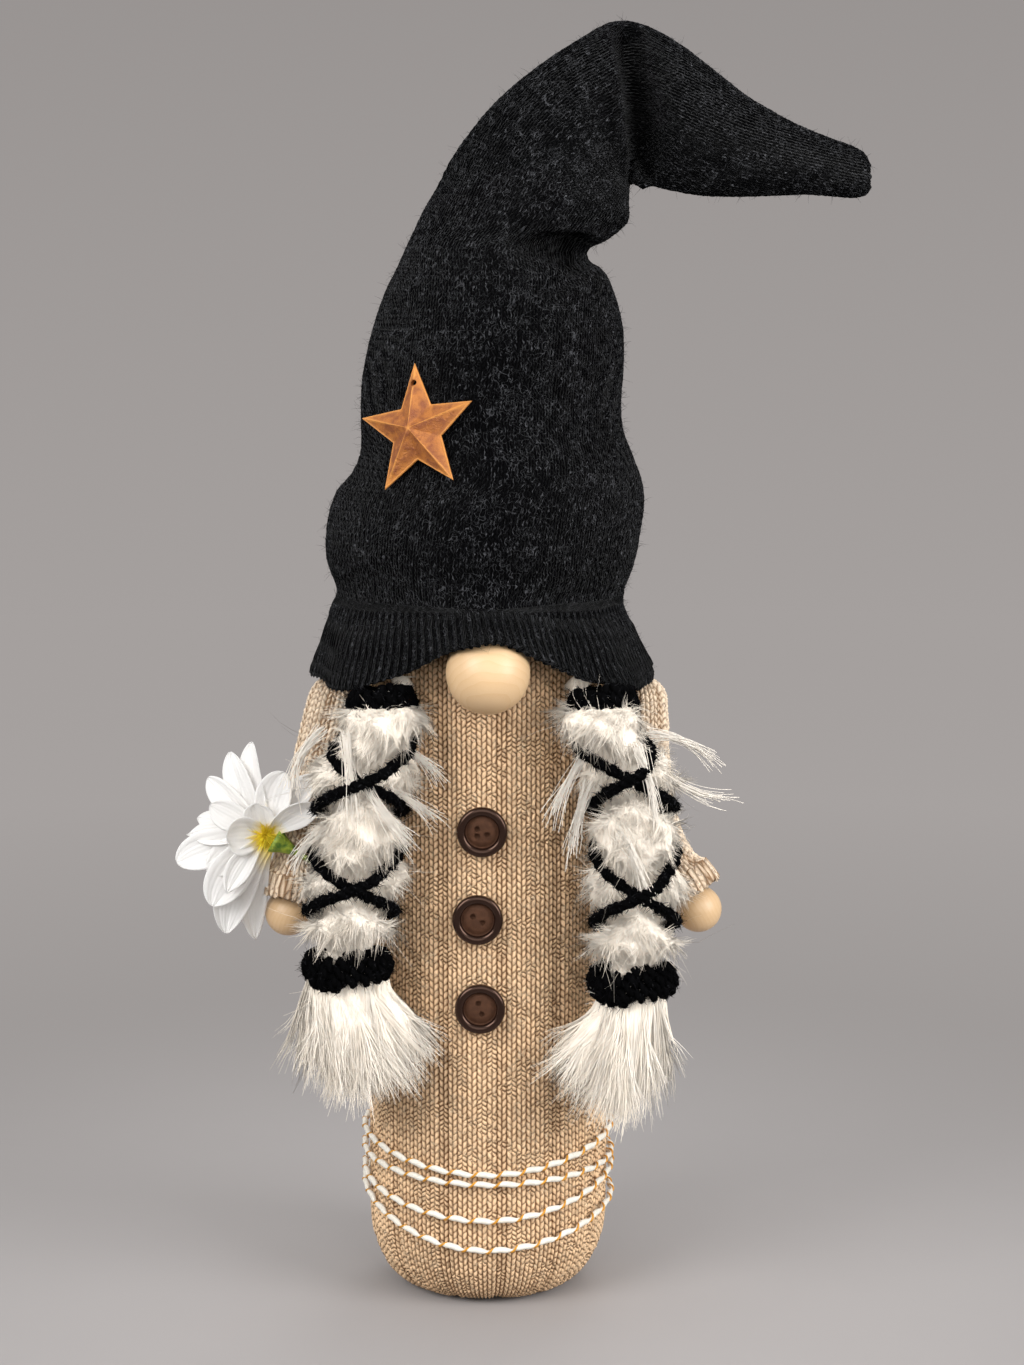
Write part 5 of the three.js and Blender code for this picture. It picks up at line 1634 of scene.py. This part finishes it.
def braid_line(side):
    """A function from height to the middle of a braid, and its heights from the top tie down."""
    top, middle, bottom, tassel, drop = BRAID_LEAN[side]
    tie_low = TIE_HEIGHT - TOP_TIE[1] / 2
    tie_bottom = TIE_HEIGHT - drop
    tie_high = tie_bottom + BOTTOM_TIE[1] / 2
    knots = [(top, TIE_HEIGHT), (top, tie_low - 1), ((top + 2 * middle) / 3, tie_low - 16),
             (middle, TIE_HEIGHT - drop / 2), (bottom, tie_bottom), (tassel, tie_bottom - TASSEL_LENGTH)]
    line = catmull([(x, -BRAID_FORWARD, z) for x, z in knots], np.linspace(0, 1, 400))

    def along(height):
        return np.interp(-height, -line[:, 2], line[:, 0])

    return along, tie_low, tie_high, tie_bottom


def lacing_route(side, direction, lifted):
    """One of the two cords that cross each other down a braid."""
    along, tie_low, tie_high, _ = braid_line(side)
    wound = np.linspace(0, 360 * LACING_TURNS, 180)
    top = tie_low - CLEARANCE - 2 * LACING_RADIUS
    bottom = tie_high + CLEARANCE + 2 * LACING_RADIUS
    steeper = wound + 0.35 * np.degrees(np.sin(np.radians(wound - 90)))
    steeper = (steeper - steeper[0]) / (steeper[-1] - steeper[0])
    sink = 5.5 if side == "left" else 0
    height = top + (bottom - top) * steeper - sink * steeper ** 0.4 * (1 - steeper)
    nearest = np.abs(wound % 180 - 90)
    bump_out = lifted * (2 * LACING_RADIUS + 2 * CLEARANCE) * (1 - smooth_step((nearest - 15) / 32))
    angle = np.radians(direction * (wound - 90))
    tucked = smooth_step(np.minimum(wound, wound[-1] - wound) / 35)
    radius = LACING_WIND * (0.78 + 0.22 * tucked) + bump_out
    points = np.stack([along(height) + radius * NARROW[side] * np.sin(angle),
                       -BRAID_FORWARD - radius * np.cos(angle), height], axis=1)
    share, up = np.array([(0.62, 5.5), (0.70, 4.6), (0.80, 3.4), (0.90, 2.0), (0.97, 0.8)]).T[:, :, None]
    ends = []
    for point, rise in ((points[0], 1), (points[-1], -1)):
        middle = np.array([along(point[2]), -BRAID_FORWARD, point[2]])
        ends.append(middle + (point - middle) * share + up * (0, 0, rise))
    return np.vstack([ends[0], points, ends[1][::-1]])


def clear_of_body(points, room):
    """Moves points out of the round body."""
    reach = np.hypot(points[..., 0], points[..., 1])
    grow = np.maximum(1, (BODY_RADIUS + room) / np.maximum(reach, 1e-6))
    return points * np.stack([grow, grow, np.ones_like(grow)], axis=-1)


class BraidHairOperator(bpy.types.Operator):
    """The puffed white hair of the two braids, pinched in under the lacing"""

    bl_idname = "gnome.braid_hair"
    bl_label = "Braid hair"

    PUFF = 8.0
    LOCK = 10.0
    CORE = 8.5
    INTO_TOP_TIE = 8
    STRAY_HAIRS = 46
    # Root, bend and tip of each stray lock
    STRAY = {
        "left": [
            ((-38, -60, 236), (-24, -60, 232), (-16, -58, 219)),
            ((-38, -60, 217), (-27, -61, 214), (-18, -59, 202)),
            ((-54, -70, 240), (-51, -76, 226), (-52, -73, 204)),
            ((-48, -70, 224), (-40, -76, 210), (-26, -70, 193)),
            ((-62, -66, 204), (-74, -66, 196), (-77, -58, 184)),
            ((-64, -58, 240), (-76, -56, 230), (-76, -54, 214))],
        "right": [
            ((64, -52, 238), (80, -50, 238), (93, -50, 224)),
            ((64, -54, 228), (80, -52, 212), (98, -50, 211)),
            ((40, -62, 234), (31, -62, 222), (25, -60, 202)),
            ((40, -62, 220), (35, -63, 206), (33, -60, 188)),
            ((58, -72, 236), (64, -76, 222), (66, -72, 204)),
            ((52, -72, 204), (60, -76, 192), (62, -72, 176))],
    }

    def execute(self, context):
        hair = context.scene.gnome.hair
        clear = (BODY_RADIUS + 0.6) * MM
        for seed, side in enumerate(SIDES):
            piece = self.matted("braid_fur_" + side, side)
            grown(piece, locks_tree, once(hair_fibre), Density=hair.braid_strands / area_of(piece) * 1.6,
                  Length=self.LOCK * MM, Length_Variation=0.5, Thickness=hair.thickness * 0.9, Segments=3,
                  Lift=0.16, Hang=0.75, Scatter=0.6, Swirl=2.6, Swirl_Size=0.014, Sag=0.05, Rein=0.15,
                  Lock_Size=0.0040, Lock_Pull=1.3, Frizz=0.006, Frizz_Size=0.007, Clear_Radius=clear,
                  Seed=seed)
            fluff = self.matted("braid_fluff_" + side, side)
            grown(fluff, locks_tree, once(hair_fibre), Density=8000 / area_of(fluff), Length=0.0062,
                  Length_Variation=0.5, Thickness=hair.thickness * 1.1, Segments=2, Lift=0.22, Hang=0.5,
                  Scatter=1.2, Swirl=3.0, Swirl_Size=0.009, Lock_Size=0.0026, Lock_Pull=1.0, Frizz=0.004,
                  Frizz_Size=0.005, Keep_Base=False, Clear_Radius=clear, Seed=seed + 20)
            stray = self.stray_locks(side)
            wisps = self.matted("braid_wisps_" + side, side)
            grown(wisps, locks_tree, once(hair_fibre), Density=260 / area_of(wisps), Length=0.022,
                  Length_Variation=0.6, Thickness=hair.thickness * 0.6, Segments=6, Lift=0.5, Hang=0.5,
                  Scatter=1.6, Swirl=1.5, Swirl_Size=0.03, Sag=0.15, Lock_Size=0.012, Lock_Pull=0.8,
                  Frizz=0.014, Frizz_Size=0.016, Keep_Base=False, Clear_Radius=clear, Seed=seed + 40)
            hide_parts("braid_hair_" + side)
            for part in (piece, fluff, stray, wisps):
                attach(part, "braid_" + side)
        return {"FINISHED"}

    def stray_locks(self, side):
        """Long loose locks that have come out of the braid, each from its root over a bend to its tip."""
        luck = np.random.default_rng(12)
        points, edges = [], []
        for root, bend, tip in self.STRAY[side]:
            for _ in range(self.STRAY_HAIRS):
                spread = luck.normal(0, 1, (3, 3)) * [[1.4], [1.3], [2.6]]
                first, second, third = np.array([root, bend, tip]) + spread
                reach = luck.uniform(0.55, 1.0)
                share = np.linspace(0, reach, 9)[:, None]
                path = first * (1 - share) ** 2 + second * 2 * share * (1 - share) + third * share ** 2
                wave = np.sin(share * luck.uniform(4, 9) + luck.uniform(0, 6))
                path += wave * luck.normal(0, 0.7, 3) * share
                edges += [(len(points) + i, len(points) + i + 1) for i in range(8)]
                points += clear_of_body(path, 1.0).tolist()
        piece = new_piece("braid_strays_" + side, points, edges=edges)
        thickness = bpy.context.scene.gnome.hair.thickness
        grown(piece, twist_tree, once(hair_fibre), Plies=1, Offset=0.0, Thickness=thickness * 0.8, Lay=0.02,
              Step=0.003, Sides=3)
        count = len(piece.data.vertices)
        mark(piece, "surface", [(SIDES[side] * 0.35, -0.45, 0.82)] * count)
        mark(piece, "tone", np.ones(count))
        return piece

    def matted(self, name, side):
        """The braid's puffs. Strands are short just above a cord, so that it stays in view."""
        along, tie_low, tie_high, _ = braid_line(side)
        heights = np.linspace(tie_low + self.INTO_TOP_TIE, tie_high - 3, 88)
        angle = round_angles(72)
        inside = np.minimum(tie_low + self.INTO_TOP_TIE - heights, heights - tie_high + 2.5)
        radius = self.CORE + (HAIR_RADIUS - self.CORE) * np.sqrt(np.clip(inside / 5, 0.05, 1))[:, None]
        rings = level_rings(along(heights)[:, None] + radius * NARROW[side] * np.sin(angle),
                            -BRAID_FORWARD - radius * np.cos(angle), heights)
        points = rings.reshape(-1, 3)
        band = angle[::3]
        tie = np.stack([along(tie_high) + HAIR_RADIUS * np.sin(band),
                        -BRAID_FORWARD - HAIR_RADIUS * np.cos(band), np.full(len(band), tie_high)], axis=1)
        cords = np.vstack([lacing_route(side, 1, 0)[::2], lacing_route(side, -1, 0)[::2]])
        nearest = np.full(len(points), 1e9)
        below = np.full(len(points), 1e9)
        for place in np.vstack([cords, tie]):
            away = points - place
            nearest = np.minimum(nearest, np.linalg.norm(away, axis=1))
            beneath = np.abs(away[:, 2]) + 1.5 * np.hypot(away[:, 0], away[:, 1])
            below = np.minimum(below, np.where(away[:, 2] > -2, beneath - 3, 1e9))
        puff = smooth_step((nearest - 3.0) / 8)
        axis = np.stack([along(points[:, 2]), np.full(len(points), -BRAID_FORWARD), points[:, 2]], axis=1)
        lumps = 0.9 * np.sin(points[:, 2] * 0.55 + points[:, 0] * 0.3)
        lumps += 0.7 * np.sin(points[:, 0] * 0.6 + points[:, 2] * 0.31)
        points = points + unit(points - axis) * ((puff - 0.5) * self.PUFF + lumps * puff)[:, None]
        rings = clear_of_body(points.reshape(rings.shape), 0.3)
        coat = np.clip(((below + 2) / self.LOCK - 0.25) / 0.75, 0.22, 1)
        coat *= np.clip((nearest - 1) / 5, 0.2, 1)
        return tube_piece(name, rings, once(hair_base), coat=coat)


class TasselOperator(bpy.types.Operator):
    """The loose ends of the hair below the lower ties"""

    bl_idname = "gnome.tassels"
    bl_label = "Tassels"

    # Half width and half depth of the tassel by the drop below its tie
    SHAPE = np.array([(-3, 15.2, 9.5), (0, 15.8, 10), (6, 18, 11), (13, 20.8, 12.5), (20, 22.5, 13),
                      (26, 21.5, 11.5), (29, 17, 9), (31, 8, 5)])
    LONGEST = 46
    SHIFT = {"left": 4.0, "right": -3.5}
    BREADTH = {"left": 1.04, "right": 0.84}

    def execute(self, context):
        hair = context.scene.gnome.hair
        for seed, side in enumerate(SIDES):
            root = self.skirt(side)
            grown(root, locks_tree, once(hair_fibre), Density=hair.tassel_strands / area_of(root) * 1.7,
                  Length=self.LONGEST * MM, Length_Variation=0.14, Thickness=hair.thickness * 1.5,
                  Segments=4, Lift=0.03, Hang=1.0, Scatter=0.18, Swirl=0.9, Swirl_Size=0.010, Sag=0.05,
                  Rein=0.16,
                  Lock_Size=0.0036, Lock_Pull=1.9, Frizz=0.007, Frizz_Size=0.013,
                  Clear_Radius=(BODY_RADIUS + 0.8) * MM, Seed=seed + 7)
            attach(root, "braid_" + side)
        return {"FINISHED"}

    def skirt(self, side):
        """The tassel's matted inside. The lower a strand starts, the shorter it is."""
        along, _, _, tie_bottom = braid_line(side)
        low = tie_bottom - BOTTOM_TIE[1] / 2
        marks, half_widths, half_depths = self.SHAPE.T
        drops = np.linspace(marks[0], marks[-1], 44)
        wide = np.interp(drops, marks, half_widths) * self.BREADTH[side]
        thick = np.interp(drops, marks, half_depths)
        angle = round_angles(80)
        heights = low - drops
        flute = 1 + 0.035 * np.sin(angle * 13) + 0.03 * np.sin(angle * 29 + 1)
        shift = self.SHIFT[side] * smooth_step(drops / 12)
        rings = level_rings((along(heights) + shift)[:, None] + wide[:, None] * np.sin(angle) * flute,
                            -BRAID_FORWARD - 1 - thick[:, None] * np.cos(angle) * flute, heights)
        room = self.LONGEST * (1 - 0.36 * np.abs(np.sin(angle)) ** 1.5) - drops[:, None]
        coat = np.clip((room / self.LONGEST - 0.25) / 0.75, 0.05, 1)
        return tube_piece("tassel_" + side, clear_of_body(rings, 0.5), once(hair_base), coat=coat.ravel())


class HairTuftOperator(bpy.types.Operator):
    """The hair between each top tie and the brim"""

    bl_idname = "gnome.hair_tufts"
    bl_label = "Hair tufts"

    def execute(self, context):
        hair = context.scene.gnome.hair
        for seed, side in enumerate(SIDES):
            low, high = (np.array(corner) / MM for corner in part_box("hair_root_" + side))
            middle = (low + high) / 2
            half = (high - low) / 2
            inner = middle[0] - SIDES[side] * 3.5
            radius, height = np.array(arc((0, 0), (1, 1), 88, -88, 20)).T
            angle = round_angles(32)
            rings = level_rings(inner + half[0] * 0.4 * radius[:, None] * np.sin(angle),
                                middle[1] - half[1] * 0.4 * radius[:, None] * np.cos(angle),
                                middle[2] - half[2] * 0.5 + half[2] * 0.24 * height)
            piece = tube_piece("hair_tuft_" + side, clear_of_body(rings, 0.3), once(hair_base))
            grown(piece, locks_tree, once(hair_fibre), Density=700 / area_of(piece), Length=0.0035,
                  Length_Variation=0.5, Thickness=hair.thickness, Segments=3, Lift=0.3, Hang=0.7,
                  Scatter=1.0, Sag=0.1, Lock_Size=0.004, Frizz=0.004,
                  Clear_Radius=(BODY_RADIUS + 0.6) * MM, Seed=seed + 3)
            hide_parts("hair_root_" + side)
            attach(piece, "root")
        return {"FINISHED"}


class ChenilleOperator(bpy.types.Operator):
    """The wound ties and the crossed lacing of fuzzy black yarn"""

    bl_idname = "gnome.chenille"
    bl_label = "Ties and lacing"

    TURNS = 4
    LAY = 0.0062

    def execute(self, context):
        for side in SIDES:
            along, _, _, tie_bottom = braid_line(side)
            body = "braid_" + side
            top = (float(along(TIE_HEIGHT)), -BRAID_FORWARD, TIE_HEIGHT + 1.8)
            bottom = (float(along(tie_bottom)), -BRAID_FORWARD, tie_bottom + 0.8)
            self.tie("top_tie_" + side, "braid_top_tie_" + side, body, top, TOP_TIE[0] + 0.8, 17, 2.6, 1.6)
            self.tie("bottom_tie_" + side, "braid_bottom_tie_" + side, body, bottom,
                     BOTTOM_TIE[0] + 0.6, 15.5, 2.3, 2.0)
            self.cord("under_lacing_" + side, "lacing_under_" + side, body, lacing_route(side, 1, 0))
            self.cord("over_lacing_" + side, "lacing_over_" + side, body, lacing_route(side, -1, 1))
        return {"FINISHED"}

    def tie(self, name, node, body, centre, outer, tall, thick, curl):
        """Turns of yarn wound one above the other, with small curls along them."""
        radius = outer - thick * 0.8 - curl * 0.5
        rise = tall / 2 - thick * 0.9
        angle = np.linspace(0, math.tau * self.TURNS, 190 * self.TURNS)
        layer = angle / angle[-1]
        wander = 0.6 * np.sin(angle * 2.3) + 0.4 * np.sin(angle * 5.1)
        reach = radius - 1.6 * (1 - 2 * layer) ** 2 + wander * 0.4 + curl * np.sin(angle * 17.3)
        route = np.stack([centre[0] + reach * np.sin(angle), centre[1] - reach * np.cos(angle),
                          centre[2] + rise * (1 - 2 * layer) * (0.78 + 0.22 * np.cos(angle)) + wander * 0.5
                          + curl * np.cos(angle * 17.3)], axis=1)
        piece = path_piece(name, clear_of_body(route, thick * 0.6))
        grown(piece, twist_tree, once(chenille_fibre), Plies=2, Offset=thick * 0.27 * MM,
              Thickness=thick * 0.55 * MM, Lay=self.LAY, Pinch=0.25, Step=0.0012, Sides=6)
        self.fuzz(piece, 2600, 0.0034)
        self.attach(piece, node, body)

    def cord(self, name, node, body, route):
        piece = path_piece(name, clear_of_body(route, 1.5))
        grown(piece, twist_tree, once(chenille_fibre), Plies=2, Offset=0.00112, Thickness=0.0015,
              Lay=self.LAY, Pinch=0.4, Step=0.0009, Sides=7)
        self.fuzz(piece, 3600, 0.0028)
        self.attach(piece, node, body)

    def fuzz(self, piece, count, length):
        set_coat(piece, 1.0)
        grown(piece, locks_tree, once(chenille_fibre), Density=count / area_of(piece), Length=length,
              Length_Variation=0.7, Thickness=0.00017, Segments=2, Lift=0.6, Hang=0.0, Scatter=2.0, Sag=0.1,
              Lock_Size=0.0013, Lock_Pull=0.5, Frizz=0.0030, Frizz_Size=0.002)

    def attach(self, piece, node, body):
        piece.data.shade_smooth()
        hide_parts(node)
        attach(piece, body)


class FlowerOperator(bpy.types.Operator):
    """The silk flower: three layers of petals, their centre, calyx and stem"""

    bl_idname = "gnome.flower"
    bl_label = "Flower"

    # Radius and length
    CALYX = (4.7, 8.8)
    STEM = (1.2, 40.0)
    LAYER_STEP = 1.4
    LEAN = (3.5, 0, 6.0)
    # Petals of each layer: the tip's angle seen from the front, length, width, how far the tip lies back,
    # the turn of its face, and how blunt its tip is
    LAYERS = {
        "petals_outer": [
            (103, 41, 11, 3, 38, 1.0), (117, 40, 12, 5, 28, 0.9), (138, 37, 11, 6, 15, 1.2),
            (166, 33, 9, 8, -35, 1.0), (177, 36, 10, 2, -30, 0.5), (193, 41, 14.5, 0, -8, 1.2),
            (242, 44, 15, 2, 8, 1.0), (258, 44, 11, 9, 20, 1.0)],
        "petals_middle": [
            (226, 36, 16.5, -6, 5, 1.2), (81, 29, 14, -4, 5, 1.3), (56, 32, 11, 2, 15, 1.1),
            (150, 30, 12, -2, 10, 1.1), (206, 30, 13, -3, -12, 1.0)],
        "petals_inner": [
            (171, 19, 15, -9, 0, 1.3), (226, 27, 10, -11, 10, 0.8), (40, 26, 11, -9, -25, 0.8),
            (112, 18, 12, -8, 5, 1.1)],
    }

    def execute(self, context):
        self.seat = self.seat_place()
        self.turn = FLOWER_AXIS.to_track_quat("Z", "Y").to_matrix()
        for level, (node, petals) in enumerate(self.LAYERS.items()):
            self.layer(node, level, petals)
        radius, length = self.CALYX
        leaf = once(green_leaf)
        outline = [(0.2, -length), (2.0, -length), (2.3, -length * 0.8), (3.4, -length * 0.45),
                   (radius, -1.5), (radius + 0.6, 0.4), (radius - 0.4, 0.6), (0.2, 0.0)]
        self.turned("leaf_cup", "flower_calyx", outline, leaf, "leaf")
        stem_radius, stem_length = self.STEM
        low = -length - CLEARANCE - stem_length
        waves = [(stem_radius * (1 + 0.08 * math.sin(i * 1.7)), low + i * stem_length / 16)
                 for i in range(17)]
        outline = [(0.2, low), *waves, (0.2, -length - CLEARANCE)]
        self.turned("stem", "flower_stem", outline, leaf, "leaf")
        low = CLEARANCE + 3 * self.LAYER_STEP
        outline = arc((0, low), (2.2, 2.2), 89, -30, 10)
        centre = self.turned("pollen_knob", None, outline, once(yellow_pollen), "pollen")
        grown(centre, locks_tree, once(yellow_pollen), Density=260 / area_of(centre), Length=0.0065,
              Length_Variation=0.4, Thickness=0.0003, Segments=3, Lift=1.0, Hang=0.0, Scatter=0.5, Sag=0.0,
              Lock_Size=0.001, Lock_Pull=0.0, Frizz=0.002, Frizz_Size=0.004)
        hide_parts("flower_centre")
        return {"FINISHED"}

    def seat_place(self):
        """Where the petals meet, worked out from the sleeve's path."""
        shoulder = np.array(SHOULDER) * (-1, 1, 1)
        on_sleeve = catmull(np.array(ARM_PATHS["left"]) + shoulder, [0.78])[0]
        forward = ARM_RADII[3] + CLEARANCE + self.STEM[0] + 0.4
        return on_sleeve + (0, -forward, 0) + np.array(FLOWER_AXIS) * 13.3 + self.LEAN

    def turned(self, name, node, outline, material, slot):
        piece = turned_piece(name, outline, material, 32, self.seat, self.turn)
        if node:
            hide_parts(node)
        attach(piece, "flower")
        return piece

    def layer(self, node, level, petals):
        points, faces, veins = [], [], []
        for place in petals:
            petal, marks = self.petal(level, *place)
            start = len(points)
            rows, columns = petal.shape[:2]
            for row in range(rows - 1):
                for column in range(columns - 1):
                    here = start + row * columns + column
                    faces.append((here, here + 1, here + columns + 1, here + columns))
            points += petal.reshape(-1, 3).tolist()
            veins += marks.reshape(-1, 3).tolist()
        piece = new_piece("silk_" + node, points, faces, material=once(silk_petal))
        mark(piece, "vein", veins)
        thick = piece.modifiers.new("Thickness", "SOLIDIFY")
        thick.thickness = 0.0003
        thick.offset = 0
        flatten(piece)
        piece.data.shade_smooth()
        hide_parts(node)
        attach(piece, "flower")

    def petal(self, level, seen, length, width, back, roll, blunt):
        """One cupped petal, from the throat along the flower's axis and then out to its tip."""
        rows, columns = 22, 13
        axis = np.array(FLOWER_AXIS)
        base = self.seat + axis * (0.8 + level * self.LAYER_STEP)
        out = np.array([math.cos(math.radians(seen)), 0, math.sin(math.radians(seen))])
        tip = self.seat + out * length + (0, back, 0)
        bend = self.seat + axis * length * 0.22 + out * length * 0.45 + (0, back * 0.4 - length * 0.10, 0)
        cup = 0.16 + 0.05 * math.sin(seen)
        points = np.zeros((rows, columns, 3))
        marks = np.zeros((rows, columns, 3))
        for row in range(rows):
            t = math.sin(math.pi / 2 * row / (rows - 1)) ** 0.9
            middle = base * (1 - t) ** 2 + bend * 2 * t * (1 - t) + tip * t ** 2
            heading = unit((bend - base) * 2 * (1 - t) + (tip - bend) * 2 * t)
            face = unit(np.array([0, -1, 0]) + heading * heading[1])
            aside = np.cross(heading, face)
            tilt = math.radians(roll * (0.5 + 0.5 * t))
            aside = aside * math.cos(tilt) + face * math.sin(tilt)
            normal = np.cross(aside, heading)
            swell = math.sin(math.pi * min(0.999, 0.05 + 0.95 * t) ** 1.6)
            half = 0.5 * width * (0.16 * (1 - t) + max(0.0, swell) ** (0.62 / blunt))
            for column in range(columns):
                s = 2 * column / (columns - 1) - 1
                ripple = 0.25 * math.cos(s * 9 + seen) * t + 0.3 * math.sin(t * 7 + seen) * s
                fold = cup * half * (s * s - 0.5) * 2 + ripple
                points[row, column] = middle + aside * half * s + normal * fold
                marks[row, column] = (s, t, 0)
        return points, marks


class InnerPartsOperator(bpy.types.Operator):
    """Finishes for the filling, weight, wires, board and thread inside the doll"""

    bl_idname = "gnome.inner_parts"
    bl_label = "Inner parts"

    FINISHES = {
        hidden_filling: ["body_filling", "hat_filling", "hat_tip_filling", "arm_filling_left",
                         "arm_filling_right"],
        pellet_bag: ["weight_bag"], pressed_board: ["base_disc"], sewing_thread: ["neck_tie"],
        soft_wire: ["hat_wire", "hat_tip_wire", "arm_wire_left", "arm_wire_right"],
    }

    def execute(self, context):
        for maker, nodes in self.FINISHES.items():
            for node in nodes:
                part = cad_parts[node]
                part.data.materials.clear()
                part.data.materials.append(once(maker))
        return {"FINISHED"}


OPERATORS = [
    StageOperator, BodyOperator, HatOperator, SleeveOperator, WoodenBallOperator, ButtonOperator,
    StarOperator, WaistCordOperator, BraidHairOperator, TasselOperator, HairTuftOperator, ChenilleOperator,
    FlowerOperator, InnerPartsOperator,
]


class GnomePanel(bpy.types.Panel):
    bl_idname = "VIEW3D_PT_gnome_doll"
    bl_label = "Gnome Doll"
    bl_space_type = "VIEW_3D"
    bl_region_type = "UI"
    bl_category = "Gnome Doll"

    def draw(self, context):
        settings = context.scene.gnome
        for group in (settings.knit, settings.hair, settings.trim, settings.stage):
            box = self.layout.box()
            for name in group.__annotations__:
                box.prop(group, name)
        for operator in OPERATORS:
            self.layout.operator(operator.bl_idname)


CLASSES = [KnitSettings, HairSettings, TrimSettings, StageSettings, GnomeSettings, *OPERATORS, GnomePanel]


def register():
    for item in CLASSES:
        bpy.utils.register_class(item)
    bpy.types.Scene.gnome = bpy.props.PointerProperty(type=GnomeSettings)


def unregister():
    del bpy.types.Scene.gnome
    for item in reversed(CLASSES):
        bpy.utils.unregister_class(item)


def main():
    register()
    for operator in OPERATORS:
        family, name = operator.bl_idname.split(".")
        getattr(getattr(bpy.ops, family), name)()
    {"cad": [list(c) for c in CAD_BOX], "visual": [list(c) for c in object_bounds()]}


if __name__ == "__main__":
    main()
